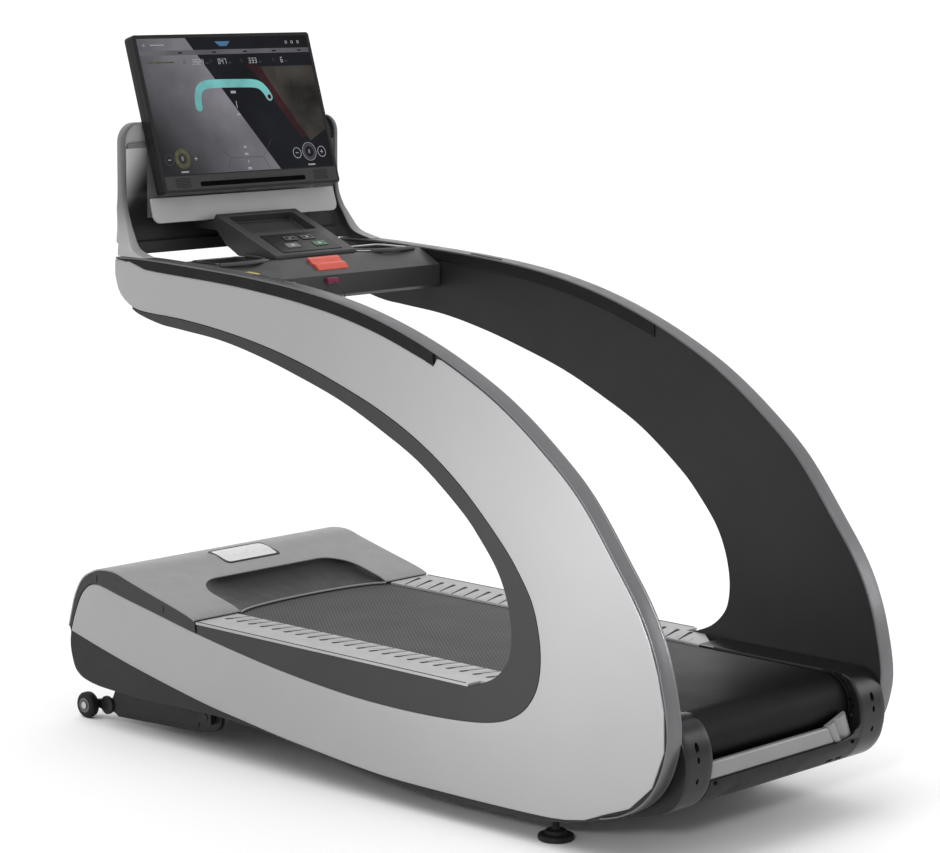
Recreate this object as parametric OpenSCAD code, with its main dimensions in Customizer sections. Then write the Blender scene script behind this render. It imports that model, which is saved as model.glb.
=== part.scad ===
// Motorised treadmill with C-shaped side frames, a touchscreen console and a lifting front axle.
// Units are millimetres. +Y points to the console, +Z up, X across the running belt.

/* [Overall] */
// Half of the total width, to the outer face of a side frame
half_w = 430; // [400:1:460]
// Inner face of a side frame
inner_w = 384; // [360:1:410]
// Thickness of a side skin
skin = 6; // [3:1:10]
// Top of the side rails above the floor
rail_z = 352; // [250:1:400]

/* [Running gear] */
// Half of the running belt's width
belt_hw = 272; // [200:1:290]
// Radius of the belt's outside round a roller
wrap_r = 70; // [40:1:75]
// Thickness of the running belt
belt_t = 3; // [2:0.5:4]
// Height of both roller axes
roller_z = 277; // [200:1:300]
// Rear roller axis, along Y
rear_y = -953; // [-980:1:-900]
// Front roller axis, along Y
front_y = 640; // [560:1:660]
// Radius of the roller journals
journal_r = 10; // [8:0.5:14]

/* [Screen] */
// Width of the screen housing
screen_w = 635; // [500:1:700]
// Height of the screen housing, along its face
screen_h = 423.5; // [300:0.5:460]
// Depth of the screen housing
screen_d = 36; // [20:1:60]
// Lean of the screen away from the runner, in degrees
screen_tilt = 17.45; // [0:0.05:30]

/* [Console] */
// Slope of the keypad unit, in degrees
unit_tilt = 22.2; // [5:0.1:35]
// Slope of the shelf in front of the keypad, in degrees
shelf_tilt = 28; // [5:0.1:40]
// Half width of the keypad unit
unit_hw = 145; // [100:1:180]

/* [Lift and feet] */
// Radius of a transport wheel
wheel_r = 35; // [25:1:45]
// Wheel axis, along Y
wheel_y = 1023; // [980:1:1030]
// Lift pivot, along Y
pivot_y = 560; // [520:1:600]
// Lift pivot, height
pivot_z = 80; // [60:1:90]
// Foot position across, from the middle
foot_x = 350; // [300:1:365]
// Foot position, along Y
foot_y = -648; // [-700:1:-600]

/* [Output] */
// Sub-part to draw

/* [Hidden] */

$fn = 48;

// Smooth curve through hand-set points, n steps to a span
function cr1(a, b, c, d, t) =
    0.5 * (2 * b + (c - a) * t + (2 * a - 5 * b + 4 * c - d) * t * t + (3 * b - a - 3 * c + d) * t * t * t);
function curve(P, n) = concat(
    [for (i = [0 : len(P) - 2], k = [0 : n - 1])
        cr1(P[max(i - 1, 0)], P[i], P[i + 1], P[min(i + 2, len(P) - 1)], k / n)],
    [P[len(P) - 1]]);
// Parallel curve, d to the left of the direction of travel
function para(P, d) = [for (i = [0 : len(P) - 1])
    let (t = P[min(i + 1, len(P) - 1)] - P[max(i - 1, 0)]) P[i] + d * [-t[1], t[0]] / norm(t)];
function rev(P) = [for (i = [len(P) - 1 : -1 : 0]) P[i]];
function below(P, y) = [for (p = P) if (p[0] < y) p];
function above(P, y) = [for (p = P) if (p[0] > y) p];
function under(P, z) = [for (p = P) if (p[1] < z) p];

// Side-view curves as [y, z], front to rear over the top and back along the floor
ridge = curve([[815, 1268], [680, 1270], [420, 1260], [270, 1251], [130, 1238], [-10, 1217],
    [-145, 1186], [-275, 1145], [-405, 1092], [-530, 1028], [-655, 943], [-780, 837], [-900, 687],
    [-960, 604], [-1000, 525], [-1028, 437], [-1045, 340], [-1036, 268], [-1010, 205],
    [-967, 156], [-909, 122], [-850, 104]], 4);
grip_low = curve([[765, 1262], [720, 1248], [674, 1241], [420, 1230], [270, 1219], [130, 1204],
    [-8, 1182], [-144, 1150], [-276, 1108], [-318, 1092]], 3);
skin_in = curve([[819, 1215], [808, 1182], [784, 1158], [750, 1141], [700, 1133], [568, 1127],
    [420, 1112], [273, 1089], [130, 1057], [-8, 1016], [-144, 968], [-277, 905], [-407, 819],
    [-535, 704], [-600, 628], [-640, 560], [-661, 470], [-657, 393], [-633, 340], [-590, 300],
    [-520, 272], [-412, 257], [-250, 250], [-79, 252], [61, 261], [204, 275], [350, 294],
    [500, 317], [654, 345], [812, 374], [880, 388], [915, 391], [945, 381], [972, 354],
    [993, 312], [1008, 272], [1014, 250]], 3);
skin_low = curve([[-850, 104], [-790, 91], [-700, 78], [-480, 73], [-215, 73], [-80, 79], [60, 91],
    [205, 105], [350, 123], [500, 143], [735, 186], [895, 221], [1014, 250]], 3);
window = curve([[758, 1139], [722, 1124], [645, 1107], [569, 1100], [419, 1086], [273, 1058],
    [131, 1021], [-9, 978], [-144, 922], [-277, 856], [-408, 762], [-472, 700], [-525, 635],
    [-556, 570], [-571, 500], [-567, 441], [-548, 405], [-515, 376], [-476, 358], [-440, 345]], 3);
belly = curve([[-850, 104], [-790, 86], [-700, 68], [-606, 59], [-349, 55], [-216, 60], [-80, 70],
    [61, 86], [186, 98], [300, 108], [420, 114], [560, 114], [720, 110], [880, 113], [960, 123],
    [1000, 143], [1017, 175], [1025, 214], [1021, 256]], 3);
hood_top = curve([[521, 355], [560, 369], [695, 402], [774, 422], [834, 437], [894, 435], [927, 424],
    [956, 409], [977, 387], [998, 349], [1012, 306], [1024, 263]], 3);
tail = concat([[-560, rail_z]], curve([[-955, rail_z], [-988, 351], [-1018, 342], [-1040, 318],
    [-1053, 285], [-1058, 250], [-1054, 215], [-1042, 180], [-1015, 148], [-975, 128],
    [-926, 115], [-880, 107]], 3));

core_side = concat(para(ridge, 4), belly, rev(para(hood_top, -14)), [[500, 344], [-440, 344]],
    rev(window), [[782, 1161], [804, 1184], [814, 1210]]);
panel_side = concat([[817, 1262]], grip_low, below(para(ridge, 10), -345), skin_low,
    rev(skin_in));
trim_in = [for (p = para(skin_in, 1.5)) if (p[0] < (p[1] > 460 ? 750 : 508)) p];
trim_side = concat(rev(window), trim_in, [[514, 320], [514, 344]]);

badge_top = below(above(para(hood_top, 2), 760), 862);

// Console and lift positions
unit_o = [0, 515, 1272];
shelf_o = [0, 430, 1222];
screen_o = [0, 748, 1428];
motor_y = 840;
motor_z = 262;
screw_x = 150;
screw_y = 850;
key_size = [44, 22];
lanyard = curve([[-28, 417, 1204], [-26, 407, 1196], [-14, 402, 1180], [-5, 403, 1160], [-4, 406, 1110],
    [-12, 412, 1050], [-40, 420, 1012], [-80, 430, 1004], [-116, 440, 1035], [-130, 448, 1090],
    [-134, 452, 1135.6]], 4);

module slab(s, x0, x1, pts) {
    translate([s > 0 ? x0 : -x1, 0, 0])
        rotate([90, 0, 90])
            linear_extrude(height = x1 - x0)
                polygon(pts);
}

module rod(x0, x1, y, z, r) {
    translate([x0, y, z])
        rotate([0, 90, 0])
            cylinder(r = r, h = x1 - x0);
}

module box(a, b) {
    translate(a)
        cube(b - a);
}

module on_unit() {
    translate(unit_o)
        rotate([unit_tilt, 0, 0])
            children();
}

module on_shelf() {
    translate(shelf_o)
        rotate([shelf_tilt, 0, 0])
            children();
}

module on_screen() {
    translate(screen_o)
        rotate([-screen_tilt, 0, 0])
            children();
}

// Side frames
module arm_core(s) {
    color([0.17, 0.17, 0.18]) slab(s, inner_w, half_w - skin, core_side);
}

module ridge_strip(s) {
    color([0.45, 0.45, 0.47])
        slab(s, 380, half_w, concat(ridge, rev(para(ridge, 4))));
}

module side_panel(s) {
    color([0.75, 0.75, 0.76]) slab(s, half_w - skin, half_w, panel_side);
}

module opening_trim(s) {
    color([0.2, 0.2, 0.21])
        difference() {
            slab(s, half_w - skin, half_w - 2, trim_side);
            box([-431, -436.2, 343.9], [431, 518.2, 352.2]);
        }
}

module grip(s) {
    band = concat(rev(above(para(ridge, 4.5), -335)), grip_low);
    color([0.06, 0.06, 0.06]) {
        slab(s, half_w - skin, half_w, band);
        slab(s, 380, inner_w, band);
    }
}

module pulse_plate(s) {
    color([0.85, 0.85, 0.86])
        slab(s, 388, 404, concat(above(below(ridge, 345), 205),
            rev(above(below(para(ridge, -3), 345), 205))));
}

module pulse_plates() {
    for (s = [-1, 1]) pulse_plate(s);
}

// Console mast
wing_z = [1271, 1285, 1300, 1320, 1340, 1362, 1400, 1450, 1556];
wing_e = [[430, 702], [422, 755], [415, 776], [409, 789], [403, 801], [397, 813], [392, 826], [391, 830], [391, 831]];
wing_f = [[430, 814], [425, 820], [418, 826], [411, 832], [404, 838], [398, 845], [390, 856], [388, 862], [388, 862]];

module wing(s) {
    n = len(wing_z);
    m = [for (i = [0 : n - 1])
        let (in_x = i == 0 ? 384 : wing_e[i][0] - max(14, 38 - i * 5))
        [[s * wing_e[i][0], wing_e[i][1]], [s * wing_f[i][0], wing_f[i][1]],
         [s * (in_x - 8), wing_f[i][1]], [s * in_x, wing_e[i][1] + 3]]];
    pts = [for (i = [0 : n - 1], k = [0 : 3]) [m[i][k][0], m[i][k][1], wing_z[i]]];
    side = [for (i = [0 : n - 2], k = [0 : 3])
        [4 * i + k, 4 * i + (k + 1) % 4, 4 * i + 4 + (k + 1) % 4, 4 * i + 4 + k]];
    caps = [[3, 2, 1, 0], [4 * n - 4, 4 * n - 3, 4 * n - 2, 4 * n - 1]];
    faces = concat(side, caps);
    if (s > 0)
        polyhedron(points = pts, faces = [for (f = faces) rev(f)]);
    else
        polyhedron(points = pts, faces = faces);
}

module wing_shell() {
    color([0.72, 0.72, 0.73]) {
        wing(1);
        wing(-1);
        translate([0, 862, 0])
            rotate([90, 0, 0])
                linear_extrude(height = 14)
                    polygon(concat([[-384, 1264], [384, 1264], [388, 1300]],
                        [for (a = [0 : 10 : 90]) [338 + 50 * cos(a), 1558 + 50 * sin(a)]],
                        [for (a = [90 : 10 : 180]) [-338 + 50 * cos(a), 1558 + 50 * sin(a)]],
                        [[-388, 1300]]));
    }
}

module cowl_panel() {
    color([0.16, 0.16, 0.17])
        box([-366, 838, 1266], [366, 848, 1552]);
}

module apron_bar() {
    color([0.6, 0.6, 0.61]) {
        intersection() {
            slab(1, -330, 330, [[772, 1350], [790, 1414], [796, 1412], [779, 1349]]);
            translate([0, 820, 0])
                rotate([90, 0, 0])
                    linear_extrude(height = 80)
                        polygon(concat([[330, 1420], [-330, 1420]],
                            [for (a = [180 : 15 : 270]) [-312 + 18 * cos(a), 1368 + 18 * sin(a)]],
                            [for (a = [270 : 15 : 360]) [312 + 18 * cos(a), 1368 + 18 * sin(a)]]));
        }
        slab(1, -280, 280, [[786.5, 1378], [792.8, 1400], [838, 1400], [838, 1378]]);
    }
}

module screen_housing() {
    color([0.1, 0.1, 0.1])
        on_screen()
            difference() {
                box([-screen_w / 2, 0, 0], [screen_w / 2, screen_d, screen_h]);
                box([-306, -1, 46], [306, 3, 414]);
            }
}

module screen_glass() {
    color([0.02, 0.02, 0.03])
        on_screen()
            box([-305.8, 0.4, 46.2], [305.8, 3, 413.8]);
}

module screen_bracket() {
    color([0.12, 0.12, 0.12])
        slab(1, -90, 90, [[793, 1450], [818.2, 1530], [838, 1530], [838, 1450]]);
}

// Console shelf, keypad unit and controls
module console_deck() {
    color([0.3, 0.3, 0.31])
        difference() {
            slab(1, -380, 380, [[430, 1222], [505.3, 1262], [640, 1262], [640, 1180], [560, 1164],
                [438, 1160], [430, 1168]]);
            for (s = [-1, 1])
                translate([s * 253, 568, 1240])
                    cube([176, 112, 60], center = true);
            on_shelf() box([-55.5, 21.5, -16], [55.5, 76.5, 20]);
            translate([-31, 430, 1208])
                cube([25, 24, 13], center = true);
        }
}

module console_unit() {
    color([0.15, 0.15, 0.16])
        difference() {
            slab(1, -unit_hw, unit_hw, [[515, 1262], [515, 1272], [745, 1365.9], [757, 1346], [838, 1346],
                [838, 1325], [745, 1325], [705, 1287], [659, 1262]]);
            on_unit() {
                box([-118, 130, -22], [118, 232, 20]);
                box([-107, 13, -4], [107, 113, 10]);
                for (c = key_spots)
                    translate([c[0], c[1], -7])
                        cube([key_size[0] + 2, key_size[1] + 2, 12], center = true);
            }
        }
}

module tray_rims() {
    color([0.8, 0.8, 0.82])
        for (s = [-1, 1])
            difference() {
                translate([s * 253, 568, 1264])
                    cube([190, 126, 4], center = true);
                translate([s * 253, 568, 1264])
                    cube([176, 112, 6], center = true);
            }
}

key_spots = [[52, 45], [-46, 45], [38, 82], [-24, 82]];

module keypad_plate() {
    color([0.03, 0.03, 0.03])
        on_unit()
            difference() {
                box([-106.5, 13.5, -4], [106.5, 112.5, 1]);
                for (c = key_spots)
                    translate([c[0], c[1], 0])
                        cube([key_size[0] + 1.4, key_size[1] + 1.4, 20], center = true);
            }
}

module key_cap(i, tint) {
    color(tint)
        on_unit()
            translate([key_spots[i][0], key_spots[i][1], -2])
                cube([key_size[0], key_size[1], 11], center = true);
}

module estop_button() {
    color([0.75, 0.15, 0.12])
        on_shelf()
            slab(1, -55, 55, [[22, -8], [76, -8], [76, 8], [40, 10], [22, 1.5]]);
}

module safety_key() {
    color([0.6, 0.1, 0.3]) {
        translate([-31, 433, 1208])
            cube([24, 16, 12], center = true);
        translate([-31, 423.8, 1208])
            cube([38, 11.6, 16], center = true);
    }
}

module safety_lanyard() {
    n = len(lanyard);
    ring = [for (i = [0 : n - 1])
        let (t = lanyard[min(i + 1, n - 1)] - lanyard[max(i - 1, 0)],
             u = cross(t, [0, 1, 0.001]) / norm(cross(t, [0, 1, 0.001])),
             v = cross(t, u) / norm(t))
        for (k = [0 : 7]) lanyard[i] + 1.5 * (u * cos(45 * k) + v * sin(45 * k))];
    side = [for (i = [0 : n - 2], k = [0 : 7])
        [8 * i + k, 8 * i + (k + 1) % 8, 8 * i + 8 + (k + 1) % 8, 8 * i + 8 + k]];
    color([0.25, 0.1, 0.15])
        polyhedron(points = ring, faces = concat(side, [[7, 6, 5, 4, 3, 2, 1, 0]],
            [[for (k = [0 : 7]) 8 * n - 8 + k]]));
}

module lanyard_clip() {
    color([0.08, 0.08, 0.08])
        box([-142, 446, 1136], [-126, 458, 1159.6]);
}

// Motor hood
module hood_cover() {
    color([0.58, 0.58, 0.59])
        difference() {
            slab(1, -half_w, half_w, concat(hood_top, rev(para(hood_top, -4))));
            translate([0, 0, 300])
                linear_extrude(height = 200)
                    polygon(concat([[-270, 400], [270, 400], [270, 560]],
                        [for (a = [0 : 15 : 90]) [180 + 85 * cos(a), 621 + 85 * sin(a)]],
                        [for (a = [90 : 15 : 180]) [-180 + 85 * cos(a), 621 + 85 * sin(a)]],
                        [[-270, 560]]));
        }
}

module hood_recess() {
    color([0.13, 0.13, 0.14])
        slab(1, -262, 262, [[521, 351], [560, 351], [700, 396], [700, 391], [562, 347.6], [521, 347.6]]);
}

module hood_badge() {
    color([0.85, 0.85, 0.86])
        slab(1, -88, 112, concat(badge_top, rev(para(badge_top, -1.95))));
}

module hood_strip(s) {
    color([0.2, 0.2, 0.21])
        slab(s, half_w - skin, half_w - 1, concat(para(hood_top, -5),
            rev(under(above(para(skin_in, 1.5), 518), 460))));
}

module hood_strips() {
    for (s = [-1, 1]) hood_strip(s);
}

module front_shell() {
    color([0.15, 0.15, 0.16])
        difference() {
            slab(1, -inner_w, inner_w, concat(above(belly, 620), rev(above(para(belly, 5), 620))));
            box([115, 820, 100], [185, 880, 130]);
            box([-312, 1000, 172], [-228, 1040, 208]);
        }
}

module belly_pan() {
    color([0.07, 0.07, 0.07])
        difference() {
            slab(1, -inner_w, inner_w, concat(below(belly, 500), rev(below(para(belly, 4), 500))));
            for (s = [-1, 1])
                translate([s * foot_x, foot_y, 30])
                    cylinder(r = 14, h = 60);
        }
}

// Frame, deck and belt
module base_frame() {
    color([0.12, 0.12, 0.12])
        difference() {
            union() {
                for (s = [-1, 1]) {
                    slab(s, 288, 348, [[-960, 135], [930, 135], [930, 185], [-960, 185]]);
                    slab(s, 348, 362, [[536, 64], [584, 64], [584, 185], [536, 185]]);
                    slab(s, 330, 372, [[-672, 100], [-624, 100], [-624, 140], [-672, 140]]);
                }
                for (y = [-820, -260, 300, 880])
                    box([-inner_w, y, 135], [inner_w, y + 50, 185]);
            }
            for (s = [-1, 1])
                slab(s, 292, 344, [[-970, 139], [940, 139], [940, 181], [-970, 181]]);
            for (y = [-820, -260, 300, 880])
                box([-400, y + 4, 139], [400, y + 46, 181]);
            rod(-370, 370, pivot_y, pivot_z, 12.05);
            for (s = [-1, 1])
                translate([s * foot_x, foot_y, 90])
                    cylinder(r = 8.05, h = 40);
        }
}

module deck_frame() {
    color([0.12, 0.12, 0.12])
        for (s = [-1, 1])
            difference() {
                union() {
                    slab(s, 301, 350, [[-900, 246], [560, 246], [560, 296], [-900, 296]]);
                    for (y = [-850, -560, -200, 160, 500])
                        slab(s, 301, 348, [[y, 185], [y + 50, 185], [y + 50, 250], [y, 250]]);
                }
                slab(s, 305, 346, [[-910, 250], [570, 250], [570, 292], [-910, 292]]);
            }
}

module roller_brackets() {
    color([0.14, 0.14, 0.14])
        for (s = [-1, 1], y = [rear_y, front_y])
            difference() {
                slab(s, 288, 300, [[y - 42, 185], [y + 42, 185], [y + 42, 300], [y + 22, 320],
                    [y - 22, 320], [y - 42, 300]]);
                rod(-310, 310, y, roller_z, journal_r + 0.05);
            }
}

module deck_board() {
    color([0.35, 0.25, 0.16])
        box([-345, -880, 326], [345, 565, 344]);
}

module deck_cushions() {
    color([0.08, 0.08, 0.08])
        for (s = [-1, 1])
            for (y = [-780, -330, 120, 510])
                translate([s * 325, y, 296])
                    cylinder(r = 18, h = 30);
}

module loop(r, w) {
    rod(-w, w, rear_y, roller_z, r);
    rod(-w, w, front_y, roller_z, r);
    box([-w, rear_y, roller_z - r], [w, front_y, roller_z + r]);
}

module running_belt() {
    color([0.06, 0.06, 0.06])
        difference() {
            loop(wrap_r, belt_hw);
            loop(wrap_r - belt_t, belt_hw + 1);
        }
}

module rail(s) {
    color([0.72, 0.72, 0.73])
        translate([0, 0, 344])
            linear_extrude(height = rail_z - 344)
                polygon([[s * 282, -558], [s * inner_w, -558], [s * inner_w, -436], [s * half_w, -436],
                    [s * half_w, 518], [s * 282, 518]]);
}

module rear_cover() {
    color([0.19, 0.19, 0.2])
        difference() {
            union() {
                for (s = [-1, 1]) {
                    slab(s, 287, 379.7, concat(tail, rev(para(tail, 8))));
                    slab(s, 282, 287, concat(tail, [[-900, 112], [-900, 344], [-560, 344]]));
                }
                slab(1, -282, 282, concat(under(tail, 203), rev(under(para(tail, 8), 203))));
            }
            rod(-290, 290, rear_y, roller_z, 14);
        }
}

module rear_crossbar() {
    color([0.62, 0.62, 0.63])
        box([-281.5, -1042, 203], [281.5, -1031, 245]);
}

module roller(y) {
    difference() {
        rod(-276, 276, y, roller_z, wrap_r - belt_t - 0.4);
        rod(-266, 266, y, roller_z, 62);
        for (a = [0 : 90 : 270])
            rod(-280, 280, y + 38 * cos(a), roller_z + 38 * sin(a), 16);
    }
}

module rear_roller() {
    color([0.3, 0.3, 0.31]) {
        roller(rear_y);
        rod(-306, 306, rear_y, roller_z, journal_r);
    }
}

module front_roller() {
    color([0.3, 0.3, 0.31]) {
        roller(front_y);
        rod(-336, 306, front_y, roller_z, journal_r);
        rod(-334, -304, front_y, roller_z, 58);
    }
}

module drive_motor() {
    color([0.1, 0.1, 0.11])
        difference() {
            union() {
                rod(-280, -60, motor_y, motor_z, 70);
                box([-240, 800, 185], [-100, 920, 205]);
            }
            rod(-290, -50, motor_y, motor_z, 9.05);
        }
}

module motor_rotor() {
    color([0.5, 0.5, 0.52]) {
        rod(-338, -38, motor_y, motor_z, 9);
        rod(-334, -304, motor_y, motor_z, 30);
        rod(-54, -40, motor_y, motor_z, 62);
    }
}

module drive_belt() {
    color([0.05, 0.05, 0.05])
        translate([-330, 0, 0])
            rotate([90, 0, 90])
                linear_extrude(height = 22)
                    difference() {
                        hull() {
                            translate([front_y, roller_z]) circle(r = 61.5);
                            translate([motor_y, motor_z]) circle(r = 33.5);
                        }
                        hull() {
                            translate([front_y, roller_z]) circle(r = 58.5);
                            translate([motor_y, motor_z]) circle(r = 30.5);
                        }
                    }
}

module controller_box() {
    color([0.2, 0.22, 0.24])
        box([230, 730, 185], [380, 930, 330]);
}

// Lifting front axle
module lift_frame() {
    color([0.17, 0.17, 0.18]) {
        for (s = [-1, 1]) {
            slab(s, 330, 344, [[540, 62], [552, 52], [590, 33], [925, 14], [938, 22], [950, 24],
                [1023, 24], [1034, 35], [1023, 46], [950, 60], [938, 84], [925, 90], [560, 98], [544, 92]]);
            rod(s > 0 ? 340 : -382, s > 0 ? 382 : -340, wheel_y, wheel_r, 6);
            rod(s > 0 ? 340 : -364, s > 0 ? 364 : -340, pivot_y, pivot_z, 12);
        }
        rod(-335, 335, pivot_y, pivot_z, 15);
        rod(-335, 335, screw_y, 58, 15);
        rod(screw_x - 14, screw_x + 14, screw_y, 90, 6);
        for (x = [screw_x - 16, screw_x + 8])
            slab(1, x, x + 8, [[838, 58], [862, 58], [862, 96], [856, 103], [844, 103], [838, 96]]);
    }
}

module lift_wheel(s) {
    color([0.08, 0.08, 0.08])
        difference() {
            rod(s > 0 ? 352 : -380, s > 0 ? 380 : -352, wheel_y, wheel_r, wheel_r);
            rod(-390, 390, wheel_y, wheel_r, 6.05);
        }
}

module lift_actuator() {
    color([0.55, 0.55, 0.56])
        difference() {
            union() {
                translate([screw_x, screw_y, 136])
                    cylinder(r = 22, h = 120);
                box([screw_x - 30, screw_y, 140], [screw_x + 30, 880, 180]);
                box([screw_x - 40, 812, 252], [screw_x + 60, 888, 372]);
            }
            translate([screw_x, screw_y, 120])
                cylinder(r = 10.05, h = 128);
        }
}

module lift_screw() {
    color([0.65, 0.65, 0.66])
        difference() {
            union() {
                translate([screw_x, screw_y, 106])
                    cylinder(r = 10, h = 134);
                box([screw_x - 6, 837, 78], [screw_x + 6, 863, 108]);
            }
            rod(screw_x - 8, screw_x + 8, screw_y - 4, 90, 7);
            rod(screw_x - 8, screw_x + 8, screw_y + 4, 90, 7);
            box([screw_x - 8, screw_y - 4, 83], [screw_x + 8, screw_y + 4, 97]);
        }
}

module rear_foot(s) {
    color([0.06, 0.06, 0.06])
        translate([s * foot_x, foot_y, 0]) {
            cylinder(r = 43, h = 16);
            cylinder(r = 26, h = 26);
            cylinder(r = 8, h = 126);
        }
}

module power_inlet() {
    color([0.09, 0.09, 0.09])
        difference() {
            box([-311.5, 1004, 172.5], [-228.5, 1012, 207.5]);
            box([-306, 1006, 180], [-276, 1013, 200]);
            box([-262, 1003, 176], [-236, 1013, 204]);
            rod(-265, -233, 1007, 190, 1.56);
        }
}

module power_switch() {
    color([0.6, 0.08, 0.06]) {
        slab(1, -261.3, -236.7, [[1004, 180], [1010, 177.5], [1014, 182], [1012, 190], [1011, 198],
            [1009, 202.5], [1004, 200]]);
        rod(-264.5, -233.5, 1007, 190, 1.5);
    }
}

base_frame();
deck_frame();
roller_brackets();
arm_core(-1);  // arm_core_left
arm_core(1);  // arm_core_right
ridge_strip(-1);  // ridge_strip_left
ridge_strip(1);  // ridge_strip_right
side_panel(-1);  // side_panel_left
side_panel(1);  // side_panel_right
opening_trim(-1);  // opening_trim_left
opening_trim(1);  // opening_trim_right
grip(-1);  // grip_left
grip(1);  // grip_right
pulse_plates();
wing_shell();
cowl_panel();
apron_bar();
screen_housing();
screen_glass();
screen_bracket();
console_deck();
console_unit();
tray_rims();
keypad_plate();
key_cap(0, [0.2, 0.5, 0.25]);  // key_start
key_cap(1, [0.6, 0.6, 0.6]);  // key_stop
key_cap(2, [0.6, 0.6, 0.6]);  // key_faster
key_cap(3, [0.25, 0.25, 0.25]);  // key_slower
estop_button();
safety_key();
safety_lanyard();
lanyard_clip();
hood_cover();
hood_recess();
hood_badge();
hood_strips();
front_shell();
belly_pan();
deck_board();
deck_cushions();
running_belt();
rail(-1);  // rail_left
rail(1);  // rail_right
rear_cover();
rear_crossbar();
front_roller();
rear_roller();
drive_motor();
motor_rotor();
drive_belt();
controller_box();
lift_frame();
lift_wheel(-1);  // lift_wheel_left
lift_wheel(1);  // lift_wheel_right
lift_actuator();
lift_screw();
rear_foot(-1);  // rear_foot_left
rear_foot(1);  // rear_foot_right
power_inlet();
power_switch();
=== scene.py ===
"""Motorised treadmill: the visual model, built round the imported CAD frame."""
import bpy
import bmesh
import math
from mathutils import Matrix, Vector


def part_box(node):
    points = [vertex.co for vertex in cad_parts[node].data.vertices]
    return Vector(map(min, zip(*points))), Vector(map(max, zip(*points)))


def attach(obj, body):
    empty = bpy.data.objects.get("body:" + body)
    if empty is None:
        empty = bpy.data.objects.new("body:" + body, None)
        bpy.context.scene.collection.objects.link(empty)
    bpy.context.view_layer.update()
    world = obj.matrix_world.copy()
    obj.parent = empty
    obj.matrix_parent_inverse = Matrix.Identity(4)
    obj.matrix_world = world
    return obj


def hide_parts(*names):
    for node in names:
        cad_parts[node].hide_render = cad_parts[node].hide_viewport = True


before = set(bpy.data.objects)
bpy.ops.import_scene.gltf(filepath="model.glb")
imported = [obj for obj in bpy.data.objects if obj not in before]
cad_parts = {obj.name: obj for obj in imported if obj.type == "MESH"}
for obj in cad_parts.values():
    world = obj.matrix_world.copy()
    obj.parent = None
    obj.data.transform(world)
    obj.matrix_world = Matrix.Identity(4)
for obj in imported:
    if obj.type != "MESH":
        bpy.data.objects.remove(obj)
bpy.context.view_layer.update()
scene = bpy.context.scene
sin, cos, rad = math.sin, math.cos, math.radians


# ---------------------------------------------------------------- camera
def make_camera():
    data = bpy.data.cameras.new("camera")
    cam = bpy.data.objects.new("camera", data)
    scene.collection.objects.link(cam)
    data.lens, data.sensor_width = 117.4, 36.0
    data.clip_start, data.clip_end = 0.1, 1000
    a, e, roll = rad(-47.05), rad(8.79), rad(0.42)
    look = Vector((-sin(a) * cos(e), cos(a) * cos(e), -sin(e)))
    right = Vector((cos(a), sin(a), 0))
    up = right.cross(look)
    r2 = cos(roll) * right + sin(roll) * up
    u2 = -sin(roll) * right + cos(roll) * up
    m = cam.matrix_world.copy()
    for i in range(3):
        m[i][0], m[i][1], m[i][2] = r2[i], u2[i], -look[i]
    m[0][3], m[1][3], m[2][3] = -5.573, -5.226, 2.050
    cam.matrix_world = m
    scene.camera = cam


make_camera()


# ---------------------------------------------------------------- materials
def feed(t, n, ins):
    """Give each named input of a node a value, or the output that drives it."""
    for k, v in ins.items():
        if isinstance(v, bpy.types.NodeSocket):
            t.links.new(v, n.inputs[k])
        else:
            n.inputs[k].default_value = v


def put(t, kind, ins, **props):
    """Add a node with its own settings and its inputs."""
    n = t.nodes.new("ShaderNode" + kind)
    for k, v in props.items():
        setattr(n, k, v)
    feed(t, n, ins)
    return n


def start(name):
    m = bpy.data.materials.new(name)
    m.use_nodes = True
    t = m.node_tree
    return m, t, t.nodes["Principled BSDF"], put(t, "TexCoord", {}).outputs


def noise(t, scale, detail, where):
    return put(t, "TexNoise", {"Scale": scale, "Detail": detail, "Vector": where}).outputs["Fac"]


def ramp(t, fac, lo, hi, ends=(0.3, 0.7)):
    n = put(t, "ValToRGB", {"Fac": fac})
    for e, pos, c in zip(n.color_ramp.elements, ends, (lo, hi)):
        e.position, e.color = pos, (*c, 1)
    return n.outputs["Color"]


def span(t, value, a, b, lo, hi, smooth=False):
    """Map a value from a..b to lo..hi."""
    return put(t, "MapRange", {"Value": value, "From Min": a, "From Max": b, "To Min": lo, "To Max": hi},
               interpolation_type="SMOOTHSTEP" if smooth else "LINEAR").outputs["Result"]


def bumped(t, height, strength, distance):
    n = put(t, "Bump", {"Strength": strength, "Distance": distance, "Height": height})
    feed(t, t.nodes["Principled BSDF"], {"Normal": n.outputs["Normal"]})


def along(t, where, axis):
    """How far each point lies along an axis, in metres."""
    return put(t, "VectorMath", {0: where, 1: axis}, operation="DOT_PRODUCT").outputs["Value"]


def mat(name, col, rough=0.5, metal=0.0, vary=0.06, vscale=3.0, grain=0.0, gscale=900.0, spec=0.5,
        coat=0.0, tint=None, rvary=0.06):
    """A shader whose colour and gloss wander slowly, with a fine grain; a neutral colour is (grey, blue)."""
    m, t, b, where = start(name)
    col = (col[0], *col[-2:])
    lo = [max(0, c * (1 - vary)) for c in col]
    hi = [min(1, c * (1 + vary)) for c in (tint or col)]
    feed(t, b, {"Metallic": metal, "Specular IOR Level": spec, "Coat Weight": coat, "Coat Roughness": 0.12,
                "Base Color": ramp(t, noise(t, vscale, 5, where["Object"]), lo, hi),
                "Roughness": span(t, noise(t, 22, 6, where["Object"]), 0.3, 0.7, max(0.02, rough - rvary),
                                  min(1, rough + rvary))})
    if grain:
        bumped(t, noise(t, gscale, 2, where["Object"]), grain, 0.0004)
    return m


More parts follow.
